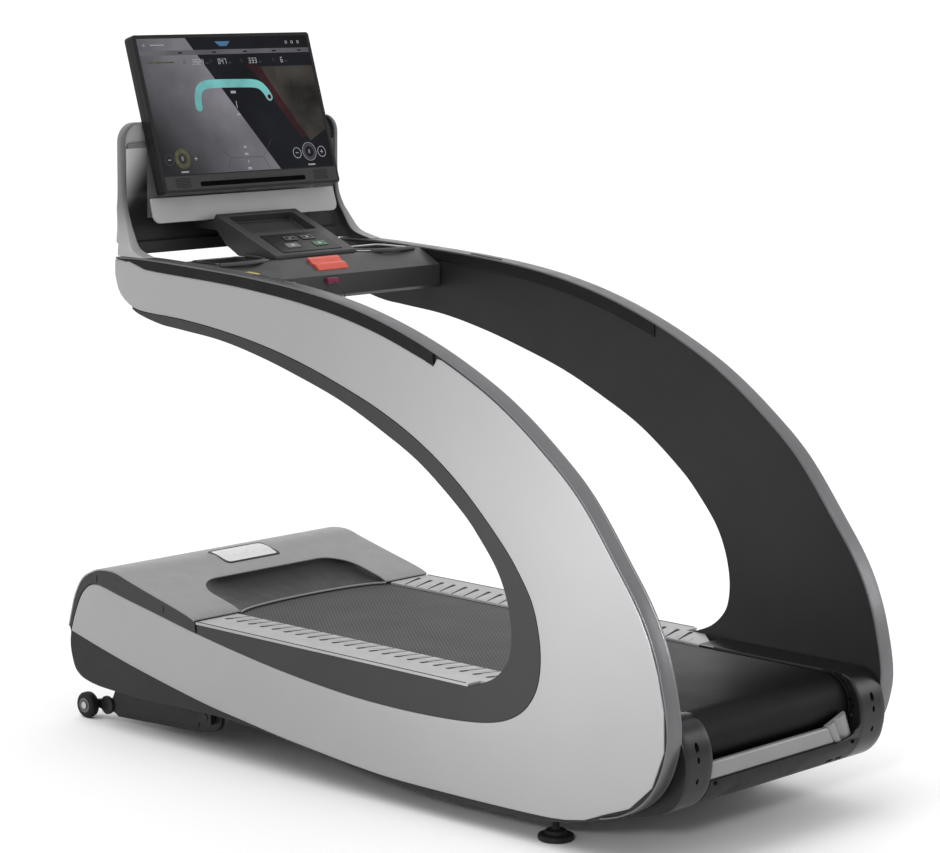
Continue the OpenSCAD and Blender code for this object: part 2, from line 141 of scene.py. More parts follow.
def brushed(name, col, rough, stretch=(1, 60, 60)):
    """Metal with fine lines: noise stretched along one axis."""
    m = mat(name, col, rough, 1.0, 0.05, 4)
    t = m.node_tree
    lines = put(t, "Mapping", {"Vector": put(t, "TexCoord", {}).outputs["Object"], "Scale": stretch})
    bumped(t, noise(t, 14, 4, lines.outputs["Vector"]), 0.15, 0.0003)
    return m


def painted_shade_blend(name, a, b, axis, lo, hi):
    """Satin paint with painted shade: the colour passes from colour a to colour b along an axis, between two
    places in metres, standing in for light falling off across the part.
    """
    m = mat(name, a, 0.42, 0.1, 0.03, 4, 0.05, 1300, spec=0.35)
    t = m.node_tree
    base = t.nodes["Principled BSDF"].inputs["Base Color"]
    place = span(t, along(t, put(t, "TexCoord", {}).outputs["Object"], axis), lo, hi, 0, 1, smooth=True)
    mix = put(t, "Mix", {0: place, 6: base.links[0].from_socket, 7: (*b, 1)}, data_type="RGBA")
    t.links.new(mix.outputs[2], base)
    return m


def belt_material():
    """Black belt with fine slanting ribs 8.5 mm apart, laid out along the loop by its UV map, in metres."""
    m, t, b, where = start("belt_ribbed")
    turned_uv = put(t, "Mapping", {"Rotation": (0, 0, rad(39)), "Vector": where["UV"]}).outputs["Vector"]
    ribs = put(t, "TexWave", {"Scale": 37, "Distortion": 0.25, "Vector": turned_uv}, bands_direction="X")
    breaks = put(t, "TexWave", {"Scale": 90, "Vector": turned_uv}, bands_direction="Y")
    weave = put(t, "Math", {0: ribs.outputs["Fac"], 1: span(t, breaks.outputs["Fac"], 0, 1, 0.8, 1.0)},
                operation="MULTIPLY").outputs["Value"]
    tone = ramp(t, weave, (0.035, 0.035, 0.036), (0.078, 0.078, 0.080), (0, 1))
    # painted shade: towards the rear the mat darkens, and the wrap round the rear roller is nearly black
    y = put(t, "SeparateXYZ", {"Vector": where["Object"]}).outputs["Y"]
    rear_painted_shade = span(t, y, -0.96, -0.62, 0.02, 1.0, smooth=True)
    shaded = put(t, "VectorMath", {}, operation="SCALE")
    feed(t, shaded, {0: tone, "Scale": rear_painted_shade})
    feed(t, b, {"Specular IOR Level": 0.14, "Base Color": shaded.outputs["Vector"],
                "Roughness": span(t, noise(t, 6, 2, where["Object"]), 0, 1, 0.45, 0.62)})
    bumped(t, weave, 0.35, 0.0005)
    return m


def lit(name, col, power=1.0, vary=0.12, vscale=20, sweep=False):
    """A self-lit part of the display's picture; with sweep it is a painted reflection, a glare whose glow
    grows towards its slanted edge.
    """
    m = mat(name, (0.004, 0.004, 0.005), 0.25, 0, 0.2, vscale, spec=0.08)
    t = m.node_tree
    where = put(t, "TexCoord", {}).outputs["Object"]
    lo, hi = ([c * (1 + v) for c in (col[0], *col[-2:])] for v in (-vary, vary))
    if sweep:
        power = span(t, along(t, where, (0.832, 0, 0.582)), 0.62, 0.948, power * 0.14, power * 1.75,
                     smooth=True)
    feed(t, t.nodes["Principled BSDF"], {"Emission Color": ramp(t, noise(t, vscale, 6, where), lo, hi),
                                         "Emission Strength": power})
    return m


M = {
    "silver": mat("silver_satin", (0.315, 0.32), 0.36, 0.15, 0.03, 2.2, 0.05, 1400, coat=0.12),
    "charcoal": mat("charcoal_shell", (0.014, 0.015), 0.44, 0, 0.10, 3, 0.18, 1100, spec=0.26),
    "lining": mat("opening_lining", (0.030, 0.031), 0.46, 0, 0.06, 4, 0.15, 1100, spec=0.3),
    "ridge": mat("ridge_satin", (0.125, 0.13), 0.36, 0.6, 0.05, 5, 0.05, 1500),
    "rubber": mat("grip_rubber", (0.007, 0.0075), 0.6, 0, 0.15, 12, 0.5, 700, spec=0.18),
    "scoop": mat("scoop_black", (0.004, 0.0043), 0.30, 0, 0.10, 6, 0.10, 1200, spec=0.15),
    "back": mat("back_panel", (0.22, 0.222), 0.45, 0, 0.08, 5, 0.15, 1100, spec=0.3),
    # painted shade: the mast's silver turns dark grey above about 1.3 m, as light falls off up the mast
    "mast": painted_shade_blend("mast_painted_shade", (0.31, 0.315), (0.13, 0.13, 0.132), (0, 0, 1), 1.305, 1.43),
    # painted light and shade: the cheek paint runs from light grey at the left and top to near black at the
    # right and bottom
    "cheek": painted_shade_blend("cheek_painted_light_and_shade", (0.62, 0.625), (0.022, 0.022, 0.023), (1, 0, -0.9), -1.73, -1.60),
    "hood": mat("hood_satin", (0.25, 0.255), 0.40, 0.2, 0.03, 2.6, 0.06, 1300, coat=0.05),
    "apron": mat("apron_satin", (0.39, 0.395), 0.42, 0.2, 0.04, 6, 0.06, 1300),
    "case": mat("case_black", (0.007, 0.0075), 0.36, 0, 0.10, 9, 0.12, 1500, spec=0.25),
    "chin": mat("chin_grey", (0.030, 0.030), 0.40, 0, 0.10, 9, 0.12, 1500, spec=0.3),
    "glass": mat("display_glass", (0.006, 0.007), 0.06, 0, 0.2, 3, rvary=0.02, spec=0.2),
    "shelf": mat("shelf_grey", (0.048, 0.050), 0.40, 0.1, 0.05, 8, 0.14, 1200, spec=0.35),
    "unit": mat("unit_charcoal", (0.037, 0.038), 0.38, 0.1, 0.06, 8, 0.14, 1200, spec=0.3),
    "gloss": mat("keypad_gloss", (0.005, 0.0055), 0.22, 0, 0.2, 10, rvary=0.04, spec=0.2),
    "green": mat("key_green", (0.012, 0.11, 0.035), 0.35, 0, 0.08, 40, 0.1),
    "keygrey": mat("key_grey", (0.13, 0.135), 0.4, 0, 0.06, 40, 0.1),
    "mark": mat("key_marks", (0.42, 0.43), 0.45, 0, 0.05, 60),
    "red": mat("stop_red", (0.62, 0.070, 0.040), 0.32, 0, 0.07, 25, 0.06, 1600, coat=0.2),
    "magenta": mat("key_magenta", (0.20, 0.018, 0.070), 0.35, 0, 0.08, 60, 0.08),
    "cord": mat("cord_braid", (0.05, 0.012, 0.025), 0.7, 0, 0.35, 900, 0.8, 1500),
    "yellow": mat("marker_yellow", (0.52, 0.44, 0.12), 0.4, 0, 0.08, 60, 0.1),
    "chrome": mat("chrome_trim", (0.62, 0.64), 0.12, 1.0, 0.03, 10, rvary=0.05),
    "rail": mat("rail_silver", (0.37, 0.375), 0.38, 0.25, 0.04, 5, 0.10, 1500),
    "bar": mat("antislip_black", (0.030, 0.030), 0.8, 0, 0.3, 200, 1.0, 2500, spec=0.2),
    "belt": belt_material(),
    "tail": mat("tail_charcoal", (0.024, 0.025), 0.30, 0.8, 0.06, 5, 0.03, 1400, rvary=0.03),
    "cheekdark": mat("tail_inner", (0.006, 0.0065), 0.42, 0, 0.10, 6, 0.10, 1300, spec=0.2),
    "apronlow": mat("rear_apron", (0.006, 0.0063), 0.42, 0.1, 0.06, 5, 0.06, 1400, spec=0.15),
    "crossbar": mat("crossbar_grey", (0.20, 0.205), 0.36, 0.35, 0.05, 6, 0.08, 1300),
    "frame": mat("frame_black", (0.012, 0.0125), 0.42, 0, 0.2, 10, 0.25, 900, spec=0.3),
    "steel": brushed("steel_turned", (0.42, 0.43), 0.30),
    "zinc": brushed("zinc_plate", (0.50, 0.51), 0.28, (60, 60, 1)),
    "motor": mat("motor_black", (0.022, 0.023), 0.45, 0.3, 0.15, 12, 0.3, 800),
    "box": mat("controller_box", (0.05, 0.057, 0.06), 0.5, 0, 0.1, 10, 0.2, 900),
    "wood": mat("deck_wood", (0.20, 0.13, 0.075), 0.55, 0, 0.25, 9, 0.2, 300, tint=(0.28, 0.19, 0.11)),
    "tyre": mat("wheel_rubber", (0.010, 0.010), 0.6, 0, 0.25, 25, 0.5, 800, spec=0.2),
    "hub": mat("wheel_hub", (0.085, 0.088), 0.45, 0, 0.08, 30, 0.2, 900),
    "foot": mat("foot_rubber", (0.010, 0.010), 0.62, 0, 0.25, 30, 0.6, 700, spec=0.2),
    "plate": mat("badge_plate", (0.66, 0.67), 0.28, 0, 0.03, 30, coat=0.2),
    "hole": mat("hole_black", (0.002, 0.002), 0.9, 0, 0.4, 100, spec=0.05),
    "inlet": mat("inlet_black", (0.014, 0.014), 0.5, 0, 0.15, 60, 0.3, 1200),
    # painted reflection: a glare over the screen's left, lit from within
    "glare": lit("screen_painted_glare", (0.10, 0.097, 0.108), 0.9, 0.35, 5, sweep=True),
    "dim": lit("picture_right", (0.006, 0.007, 0.011), 0.5, 0.6, 7),
    "warm": lit("picture_warm", (0.036, 0.032, 0.027), 0.8, 0.8, 9),
    "wine": lit("picture_wine", (0.030, 0.005, 0.007), 0.8, 0.5, 9),
    "teal": lit("picture_teal", (0.17, 0.50, 0.49), 0.9, 0.25, 14),
    "header": lit("picture_header", (0.12, 0.135), 0.8, 0.25, 8),
    "white": lit("picture_white", (0.36, 0.38), 0.9, 0.1, 30),
    "faint": lit("picture_line", (0.075, 0.085), 0.6, 0.2, 20),
    "olive": lit("picture_olive", (0.10, 0.045), 0.8, 0.3, 60),
    "blue": lit("picture_blue", (0.06, 0.16, 0.28), 0.9, 0.2, 50),
}


# ---------------------------------------------------------------- curves, in millimetres
def curve(P, n):
    out = []
    for i in range(len(P) - 1):
        a, b, c, d = P[max(i - 1, 0)], P[i], P[i + 1], P[min(i + 2, len(P) - 1)]
        for k in range(n):
            t = k / n
            out.append(tuple(0.5 * (2 * q + (r - p) * t + (2 * p - 5 * q + 4 * r - s) * t * t
                                    + (3 * q - p - 3 * r + s) * t ** 3) for p, q, r, s in zip(a, b, c, d)))
    return out + [tuple(P[-1])]


def para(P, d):
    out = []
    for i, p in enumerate(P):
        a, b = P[max(i - 1, 0)], P[min(i + 1, len(P) - 1)]
        t = (b[0] - a[0], b[1] - a[1])
        L = math.hypot(*t)
        out.append((p[0] - d * t[1] / L, p[1] + d * t[0] / L))
    return out


def resample(P, n):
    """n points at equal steps along a polyline."""
    P = [Vector(p) for p in P]
    s = [0.0]
    for a, b in zip(P, P[1:]):
        s.append(s[-1] + (b - a).length)
    out, j = [], 0
    for i in range(n):
        d = s[-1] * i / (n - 1)
        while j < len(P) - 2 and s[j + 1] < d:
            j += 1
        f = (d - s[j]) / max(s[j + 1] - s[j], 1e-9)
        out.append(tuple(P[j].lerp(P[j + 1], f)))
    return out


def at(P, y):
    """Height of a profile [(y, z)...] that runs towards +Y, at y."""
    for a, b in zip(P, P[1:]):
        if a[0] <= y <= b[0]:
            return a[1] + (b[1] - a[1]) * (y - a[0]) / max(b[0] - a[0], 1e-9)
    return P[-1][1]


ridge = curve([(815, 1268), (680, 1270), (420, 1260), (270, 1251), (130, 1238), (-10, 1217), (-145, 1186),
               (-275, 1145), (-405, 1092), (-530, 1028), (-655, 943), (-780, 837), (-900, 687),
               (-960, 604), (-1000, 525), (-1028, 437), (-1045, 340), (-1036, 268), (-1010, 205),
               (-967, 156), (-909, 122), (-850, 104)], 9)
grip_low = curve([(765, 1262), (720, 1248), (674, 1241), (420, 1230), (270, 1219), (130, 1204), (-8, 1182),
                  (-144, 1150), (-276, 1108), (-318, 1092)], 8)
skin_in = curve([(819, 1215), (808, 1182), (784, 1158), (750, 1141), (700, 1133), (568, 1127), (420, 1112),
                 (273, 1089), (130, 1057), (-8, 1016), (-144, 968), (-277, 905), (-407, 819), (-535, 704),
                 (-600, 628), (-640, 560), (-661, 470), (-657, 393), (-633, 340), (-590, 300), (-520, 272),
                 (-412, 257), (-250, 250), (-79, 252), (61, 261), (204, 275), (350, 294), (500, 317),
                 (654, 345), (812, 374), (880, 388), (915, 391), (945, 381), (972, 354), (993, 312),
                 (1008, 272), (1014, 250)], 8)
skin_low = curve([(-850, 104), (-790, 91), (-700, 78), (-480, 73), (-215, 73), (-80, 79), (60, 91),
                  (205, 105), (350, 123), (500, 143), (735, 186), (895, 221), (1014, 250)], 8)
window = curve([(758, 1139), (722, 1124), (645, 1107), (569, 1100), (419, 1086), (273, 1058), (131, 1021),
                (-9, 978), (-144, 922), (-277, 856), (-408, 762), (-472, 700), (-525, 635), (-556, 570),
                (-571, 500), (-567, 441), (-548, 405), (-515, 376), (-476, 358), (-440, 345)], 8)
belly = curve([(-850, 104), (-790, 86), (-700, 68), (-606, 59), (-349, 55), (-216, 60), (-80, 70),
               (61, 86), (186, 98), (300, 108), (420, 114), (560, 114), (720, 110), (880, 113), (960, 123),
               (1000, 143), (1017, 175), (1025, 214), (1021, 256)], 8)
hood_top = curve([(521, 355), (560, 369), (695, 402), (774, 422), (834, 437), (894, 435), (927, 424),
                  (956, 409), (977, 387), (998, 349), (1012, 306), (1024, 263)], 10)
tail = [(-560, 352)] + curve([(-955, 352), (-988, 351), (-1018, 342), (-1040, 318), (-1053, 285),
                              (-1058, 250), (-1054, 215), (-1042, 180), (-1015, 148), (-975, 128),
                              (-926, 115), (-880, 107)], 8)


# ---------------------------------------------------------------- mesh helpers
def axes(o, u, v, w):
    """A drawing frame: its origin and three axes."""
    return tuple(Vector(k) for k in (o, u, v, w))


def tilted(o, deg):
    """Frame at o turned about X: u along X, v up the slope, w out of it."""
    a = rad(deg)
    return axes(o, (1, 0, 0), (0, cos(a), sin(a)), (0, -sin(a), cos(a)))


YZ = axes((0, 0, 0), (0, 1, 0), (0, 0, 1), (1, 0, 0))
XY = axes((0, 0, 0), (1, 0, 0), (0, 1, 0), (0, 0, 1))
XZ = axes((0, 0, 0), (1, 0, 0), (0, 0, 1), (0, 1, 0))
UNIT = tilted((0, 515, 1272), 22.2)
SHELF = tilted((0, 430, 1222), 28)
LEAN = rad(17.45)
SCREEN = axes((0, 748, 1428), (1, 0, 0), (0, sin(LEAN), cos(LEAN)), (0, cos(LEAN), -sin(LEAN)))


def place(fr, p):
    return fr[0] + fr[1] * p[0] + fr[2] * p[1] + fr[3] * p[2]


class Shape:
    def __init__(self):
        self.v, self.f, self.m = [], [], []

    def add(self, verts, faces, m=0):
        k = len(self.v)
        self.v += [tuple(p) for p in verts]
        self.f += [tuple(i + k for i in f) for f in faces]
        self.m += m if isinstance(m, list) else [m] * len(faces)
        return self

    def join(self, *others):
        for o in others:
            self.add(o.v, o.f, o.m)
        return self


def prism(fr, pts, w0, w1, m=0):
    n = len(pts)
    v = [place(fr, (p[0], p[1], w)) for w in (w0, w1) for p in pts]
    f = [tuple(range(n))[::-1], tuple(range(n, 2 * n))]
    f += [(i, (i + 1) % n, n + (i + 1) % n, n + i) for i in range(n)]
    return Shape().add(v, f, m)


def loft(rings, closed=True, caps=True):
    """Faces between rows of points; each ring has the same count."""
    n = len(rings[0])
    v = [p for r in rings for p in r]
    last = n if closed else n - 1
    f = [(i * n + k, i * n + (k + 1) % n, (i + 1) * n + (k + 1) % n, (i + 1) * n + k)
         for i in range(len(rings) - 1) for k in range(last)]
    if caps and closed:
        f += [tuple(range(n))[::-1], tuple(range((len(rings) - 1) * n, len(rings) * n))]
    return Shape().add(v, f)


def arc(cx, cy, r, degrees):
    return [(cx + r * cos(rad(a)), cy + r * sin(rad(a))) for a in degrees]


def rrect(x0, y0, x1, y1, r, n=6):
    """A rectangle with rounded corners, n steps to a corner."""
    out = []
    for cx, cy, a in ((x1 - r, y0 + r, -90), (x1 - r, y1 - r, 0), (x0 + r, y1 - r, 90),
                      (x0 + r, y0 + r, 180)):
        out += arc(cx, cy, r, [a + 90 * i / n for i in range(n + 1)])
    return out


def pad(fr, box, w0, w1):
    """A plate with rounded corners: box is what rrect takes."""
    return prism(fr, rrect(*box), w0, w1)


def rect(x0, y0, x1, y1):
    return [(x0, y0), (x1, y0), (x1, y1), (x0, y1)]


def disc(x, y, r, n=32):
    return arc(x, y, r, [360 * i / n for i in range(n)])


def turned(profile, centre, n=64):
    """Solid of revolution about X: profile [(x, r)...], centre (y, z)."""
    return loft([[(x, *p) for p in disc(*centre, r, n)] for x, r in profile])


def tube(path, r, n=12, flat=1.0):
    """Round tube along a path of points."""
    P = [Vector(p) for p in path]
    rings, u = [], None
    for i, p in enumerate(P):
        t = (P[min(i + 1, len(P) - 1)] - P[max(i - 1, 0)]).normalized()
        if u is None:
            u = t.orthogonal().normalized()
        u = (u - t * u.dot(t)).normalized()
        w = t.cross(u)
        rings.append([p + u * a + w * (flat * b) for a, b in disc(0, 0, r, n)])
    return loft(rings)


def raw(name, shape, mats):
    me = bpy.data.meshes.new(name)
    me.from_pydata([(p[0] * 0.001, p[1] * 0.001, p[2] * 0.001) for p in shape.v], [], shape.f)
    me.update()
    for x in mats:
        me.materials.append(x)
    me.polygons.foreach_set("material_index", shape.m)
    bm = bmesh.new()
    bm.from_mesh(me)
    bmesh.ops.remove_doubles(bm, verts=bm.verts, dist=1e-6)
    bmesh.ops.recalc_face_normals(bm, faces=bm.faces)
    bm.to_mesh(me)
    bm.free()
    o = bpy.data.objects.new(name, me)
    scene.collection.objects.link(o)
    return o


def bake(o):
    bpy.context.view_layer.update()
    dg = bpy.context.evaluated_depsgraph_get()
    me = bpy.data.meshes.new_from_object(o.evaluated_get(dg))
    old = o.data
    o.modifiers.clear()
    o.data = me
    bpy.data.meshes.remove(old)


def shade(o, angle):
    me = o.data
    me.polygons.foreach_set("use_smooth", [True] * len(me.polygons))
    me.set_sharp_from_angle(angle=rad(angle))
    me.update()


def rounded(o, width, seg, angle):
    b = o.modifiers.new("bevel", "BEVEL")
    b.width, b.segments, b.limit_method, b.angle_limit = width * 0.001, seg, "ANGLE", rad(angle)
    return b


def fix(o, replaces=(), body="chassis"):
    """Fix an object to its body, and hide the CAD nodes it replaces."""
    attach(o, body)
    if replaces:
        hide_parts(*([replaces] if isinstance(replaces, str) else replaces))


def piece(name, shape, mats, body="chassis", replaces=(), cuts=(), bevel=0, seg=3,
          angle=35, smooth=32):
    """An object made from a shape: cut, bevelled, shaded, fixed to its body, and hiding the CAD nodes it
    replaces.
    """
    mats = [M[x] for x in (mats if isinstance(mats, (list, tuple)) else [mats])]
    o = raw(name, shape, mats)
    for c in cuts:
        k = raw("cutter", c, mats[:1])
        b = o.modifiers.new("cut", "BOOLEAN")
        b.operation, b.object, b.solver = "DIFFERENCE", k, "EXACT"
        bake(o)
        me = k.data
        bpy.data.objects.remove(k)
        bpy.data.meshes.remove(me)
    if bevel:
        if cuts:
            bm = bmesh.new()
            bm.from_mesh(o.data)
            bmesh.ops.remove_doubles(bm, verts=bm.verts, dist=2e-6)
            bmesh.ops.dissolve_limit(bm, angle_limit=rad(0.5), verts=bm.verts, edges=bm.edges)
            bm.to_mesh(o.data)
            bm.free()
        rounded(o, bevel, seg, angle).miter_outer = "MITER_ARC"
        bake(o)
    shade(o, smooth)
    if bevel:
        # large flat faces keep one normal, so that only the bevels look round
        w = o.modifiers.new("normals", "WEIGHTED_NORMAL")
        w.keep_sharp = True
        bake(o)
    fix(o, replaces, body)
    return o


SIDES = (("left", -1), ("right", 1))


def sided(s, x0, x1):
    """An X range on one side of the machine."""
    return (min(s * x0, s * x1), max(s * x0, s * x1))


def slab(s, pts, x0, x1):
    return prism(YZ, pts, *sided(s, x0, x1))


# ---------------------------------------------------------------- side frames
def paired(A, B):
    """For each point of A the matching point of B, both running the same way round the same band."""
    n, k = len(A), len(B)
    cost = [math.dist(A[0], B[j]) for j in range(k)]
    back = []
    for i in range(1, n):
        row, new, best, arg = [], [], 1e18, 0
        for j in range(k):
            if cost[j] < best:
                best, arg = cost[j], j
            row.append(arg)
            new.append(best + math.dist(A[i], B[j]) + 0.002 * abs(j / k - i / n) * 1000)
        back.append(row)
        cost = new
    j = k - 1
    idx = [j]
    for i in range(n - 2, -1, -1):
        j = back[i][j]
        idx.append(j)
    idx = [float(x) for x in idx[::-1]]
    idx[0] = 0.0
    for _ in range(30):
        idx = [idx[0]] + [(idx[i - 1] + idx[i] * 2 + idx[i + 1]) / 4 for i in range(1, n - 1)] + [idx[-1]]
    out = []
    for x in idx:
        a = min(int(x), k - 2)
        f = x - a
        out.append(tuple(B[a][q] * (1 - f) + B[a + 1][q] * f for q in (0, 1)))
    return out


skin_out = [(819, 1262)] + grip_low + [p for p in para(ridge, 10) if p[0] < -322] + skin_low
IN = resample(skin_in, 240)
OUT = paired(IN, resample(skin_out, 700))


def skin_shape(s):
    rings = []
    for a, b in zip(OUT, IN):
        w = max(math.dist(a, b), 0.01)
        rim = min(4.0, w * 0.2)
        ts = [0, 0, rim * 0.12 / w, rim * 0.4 / w, rim / w]
        mid = [rim / w + (1 - 2 * rim / w) * i / 16 for i in range(1, 16)]
        xs = [424.1, 425.6, 426.6, 427.3, 427.8]
        crown = min(2.15, w * 0.012)
        mx = [427.8 + crown * (1 - (2 * t - 1) ** 2) for t in mid]
        tt = ts + mid + [1 - t for t in ts[::-1]]
        xx = xs + mx + xs[::-1]
        rings.append([(s * x, a[0] + (b[0] - a[0]) * t, a[1] + (b[1] - a[1]) * t) for t, x in zip(tt, xx)])
    return loft(rings, closed=True, caps=True)


def swept(path, prof, s):
    """A profile of (x, depth) points carried along a path, on side s."""
    return loft([[(s * x, p[0] + (q[0] - p[0]) * o, p[1] + (q[1] - p[1]) * o) for x, o in prof]
                 for p, q in zip(path, para(path, 1))])


core_side = (para(ridge, 4) + belly[1:] + para(hood_top, -14)[::-1] + [(500, 343.8), (-440, 343.8)]
             + window[::-1][1:] + [(782, 1161), (804, 1184), (814, 1210)])
trim_in = [p for p in para(skin_in, 1.5) if p[0] < (750 if p[1] > 460 else 508)]
trim_side = [p for p in window[::-1] if p[1] > 346] + trim_in + [(514, 320), (514, 343.5), (-436, 343.5)]

for side, s in SIDES:
    piece("side_skin_" + side, skin_shape(s), "silver",
          replaces="side_panel_" + side, smooth=40)
    piece("arm_shell_" + side, slab(s, core_side, 384, 424), "charcoal",
          replaces="arm_core_" + side, bevel=3.0, angle=50)
    piece("window_lining_" + side, slab(s, trim_side, 424, 427.6), "lining",
          replaces="opening_trim_" + side, bevel=1.0, angle=50)
    # satin ridge with rolled edges and a shallow groove along its inner side
    prof = [(380, 4), (380, 1.3), (380.4, 0.4), (381.4, 0), (386, 0), (386.6, 0.7), (388.2, 0.7),
            (388.8, 0), (404, -0.0), (427.0, 0), (429.0, 0.5), (429.8, 1.6), (430, 2.6), (430, 4)]
    piece("ridge_cap_" + side, swept(ridge, prof, s), "ridge",
          replaces="ridge_strip_" + side, smooth=30)
    # grips: soft black bands on the outer and inner upper edges, fine ribs on the outer face
    g = Shape()
    top_line = resample([p for p in para(ridge, 4.3) if p[0] > -330], 150)
    low_line = resample([(772, 1258)] + grip_low, 150)
    for x_in, x_out, sgn in ((424.2, 430, 1), (383.8, 380.2, -1)):
        rr = []
        for a, b in zip(top_line, low_line):
            c = [(x_in, 0), (x_out - sgn * 1.6, 0), (x_out - sgn * 0.5, 0.05), (x_out, 0.14), (x_out, 0.30),
                 (x_out - sgn * 0.35, 0.34), (x_out, 0.38), (x_out, 0.62), (x_out - sgn * 0.35, 0.66),
                 (x_out, 0.70), (x_out, 0.86), (x_out - sgn * 0.5, 0.95), (x_out - sgn * 1.6, 1), (x_in, 1)]
            rr.append([(s * x, a[0] + (b[0] - a[0]) * t, a[1] + (b[1] - a[1]) * t) for x, t in c])
        g.join(loft(rr))
    piece("hand_grip_" + side, g, "rubber", replaces="grip_" + side, smooth=35)
    # hood side strip with two small slots
    strip = para(hood_top, -5) + [p for p in para(skin_in, 1.5) if p[0] > 518 and p[1] < 460][::-1]
    slots = [prism(YZ, rect(y - 3, z - 9, y + 3, z + 9), *sided(s, 427.2, 432))
             for y, z in ((905, at(hood_top, 905) - 25), (640, at(hood_top, 640) - 24))]
    piece("hood_side_" + side, slab(s, strip, 424, 429), "lining",
          replaces="hood_strips", bevel=1.2, angle=50, cuts=slots)

# sensor plates set into the grips' tops, and a small marker clip by the runner's left hand
for side, s in SIDES:
    top = [p for p in ridge if 208 < p[0] < 345]
    rr = []
    for k, (p, q) in enumerate(zip(top, para(top, 1))):
        e = min(k, len(top) - 1 - k)
        half = 8.0 if e > 1 else (6.6 if e == 1 else 4.5)
        d = (q[0] - p[0], q[1] - p[1])
        c = [(-half, 0.5), (-half + 1, -1.2), (-half * 0.5, -2.2), (0, -2.6), (half * 0.5, -2.2),
             (half - 1, -1.2), (half, 0.5)]
        rr.append([(s * (396 + x), p[0] + d[0] * o, p[1] + d[1] * o) for x, o in c])
    piece("sensor_plate_" + side, loft(rr), "lining", replaces="pulse_plates", smooth=50)


def along_arm(y0, y1, x0, x1, low, high, n=14):
    """A bar along the left arm's inner top edge: low and high are depths below the arm's top."""
    rings = []
    for k in range(n + 1):
        y = y0 + (y1 - y0) * k / n
        top = at(ridge[::-1], y)
        e = 1.2 if k in (0, n) else 0
        rings.append([(x0 + e, y, top - low), (x1 - e, y, top - low), (x1 - e, y, top - high - 1 - e),
                      (x1 - 1 - e, y, top - high - e), (x0 + 1 + e, y, top - high - e),
                      (x0 + e, y, top - high - 1 - e)])
    return loft(rings)


piece("hand_bar_base", along_arm(208, 398, -385, -354, 20, 6), "rubber", smooth=40)
piece("hand_bar_plate", along_arm(219, 341, -371.5, -358.5, 8, 3), "chrome", smooth=40)
piece("hand_bar_mark", along_arm(349, 389, -373, -357, 8, 1.6), "yellow", smooth=40)


# ---------------------------------------------------------------- mast, apron and screen
wing_z = [1271, 1285, 1300, 1320, 1340, 1362, 1400, 1450, 1500, 1556]
wing_e = [(430, 702), (422, 755), (415, 776), (409, 789), (403, 801), (397, 813), (392, 826), (391, 830),
          (391, 831), (391, 831)]
wing_f = [(430, 814), (425, 820), (418, 826), (411, 832), (404, 838), (398, 845), (390, 856), (388, 861),
          (388, 862), (388, 862)]
rim_w = [38, 34, 30, 26, 22, 19, 15, 14, 14, 14]
stations = curve([(z, *e, *f, w) for z, e, f, w in zip(wing_z, wing_e, wing_f, rim_w)], 4)


def mast():
    rings = []
    top = [(1558 + 50 * sin(rad(90 * k / 8)), *stations[-1][1:]) for k in range(1, 9)]
    for z, ex, ey, fx, fy, w in stations + top:
        pull = 0 if z <= 1558 else 50 - math.sqrt(max(0, 50 ** 2 - (z - 1558) ** 2))
        back_y = min(862, fy + 8) if z > 1300 else fy
        # outer face, from the middle of the back round to the rim and in again
        half = [(0, back_y), (fx * 0.5, back_y), (fx - 24, back_y), (fx - 9, back_y - 1.0),
                (fx - 2.5, back_y - 5), (fx, back_y - 12)]
        half += [(fx + (ex - fx) * t, (back_y - 12) + (ey + 6 - back_y + 12) * t) for t in (0.35, 0.7, 1)]
        half += [(ex - 0.6, ey + 3), (ex - 2.4, ey + 0.8), (ex - 5, ey), (ex - w + 3, ey + 0.4),
                 (ex - w + 0.8, ey + 1.6), (ex - w, ey + 5)]
        inner = max(ey + 9, back_y - 14)
        half += [(ex - w - 3, ey + (inner - ey) * 0.55), (ex - w - 11, ey + (inner - ey) * 0.85),
                 (ex - w - 26, inner), (fx * 0.45, inner), (0, inner)]
        right = [(x - pull if x > 60 else x, y, z) for x, y in half]
        left = [(-x, y, z) for x, y, z in right]
        rings.append(left + right[::-1][1:-1])
    sh = loft(rings)
    n = len(rings[0])
    # the faces inside the rim take the cheek paint, with painted light on the left and top and painted shade
    # on the right and bottom; the rest takes the mast's silver, with painted shade towards the top
    for i in range(len(sh.f) - 2):
        k = i % n
        sh.m[i] = 1 if (k if k < 20 else n - 1 - k) >= 14 else 0
    return sh


piece("mast_shell", mast(), ["mast", "cheek"], replaces="wing_shell", smooth=40)
cowl = rrect(-364, 1266, 364, 1556, 10)
piece("mast_inner", prism(XZ, cowl, 838.2, 847.8), "back", replaces="cowl_panel", bevel=2.5)
for side, s in SIDES:
    # hollow cheek inside the wing: a smooth inward sweep from the rim to the back panel; its paint is painted
    # light on the left cheek and painted shade on the right
    rings = []
    for k in range(19):
        z = 1272 + 270 * k / 18
        xr = 377 + (14 if z < 1300 else 10 * max(0, (1340 - z) / 40))
        line = [(xr - 2 - 74 * i / 12, 833.4 + 4.2 * sin(math.pi / 2 * i / 12)) for i in range(13)]
        back = [(x, 838.6) for x, y in line[::-1]]
        rings.append([(s * x, y, z) for x, y in line + back])
    piece("mast_cheek_" + side, loft(rings), "cheek", smooth=50)
piece("mast_seam", pad(XZ, (-356, 1318, 356, 1320, 0.9, 2), 836.6, 838.4), "unit", bevel=0.4)

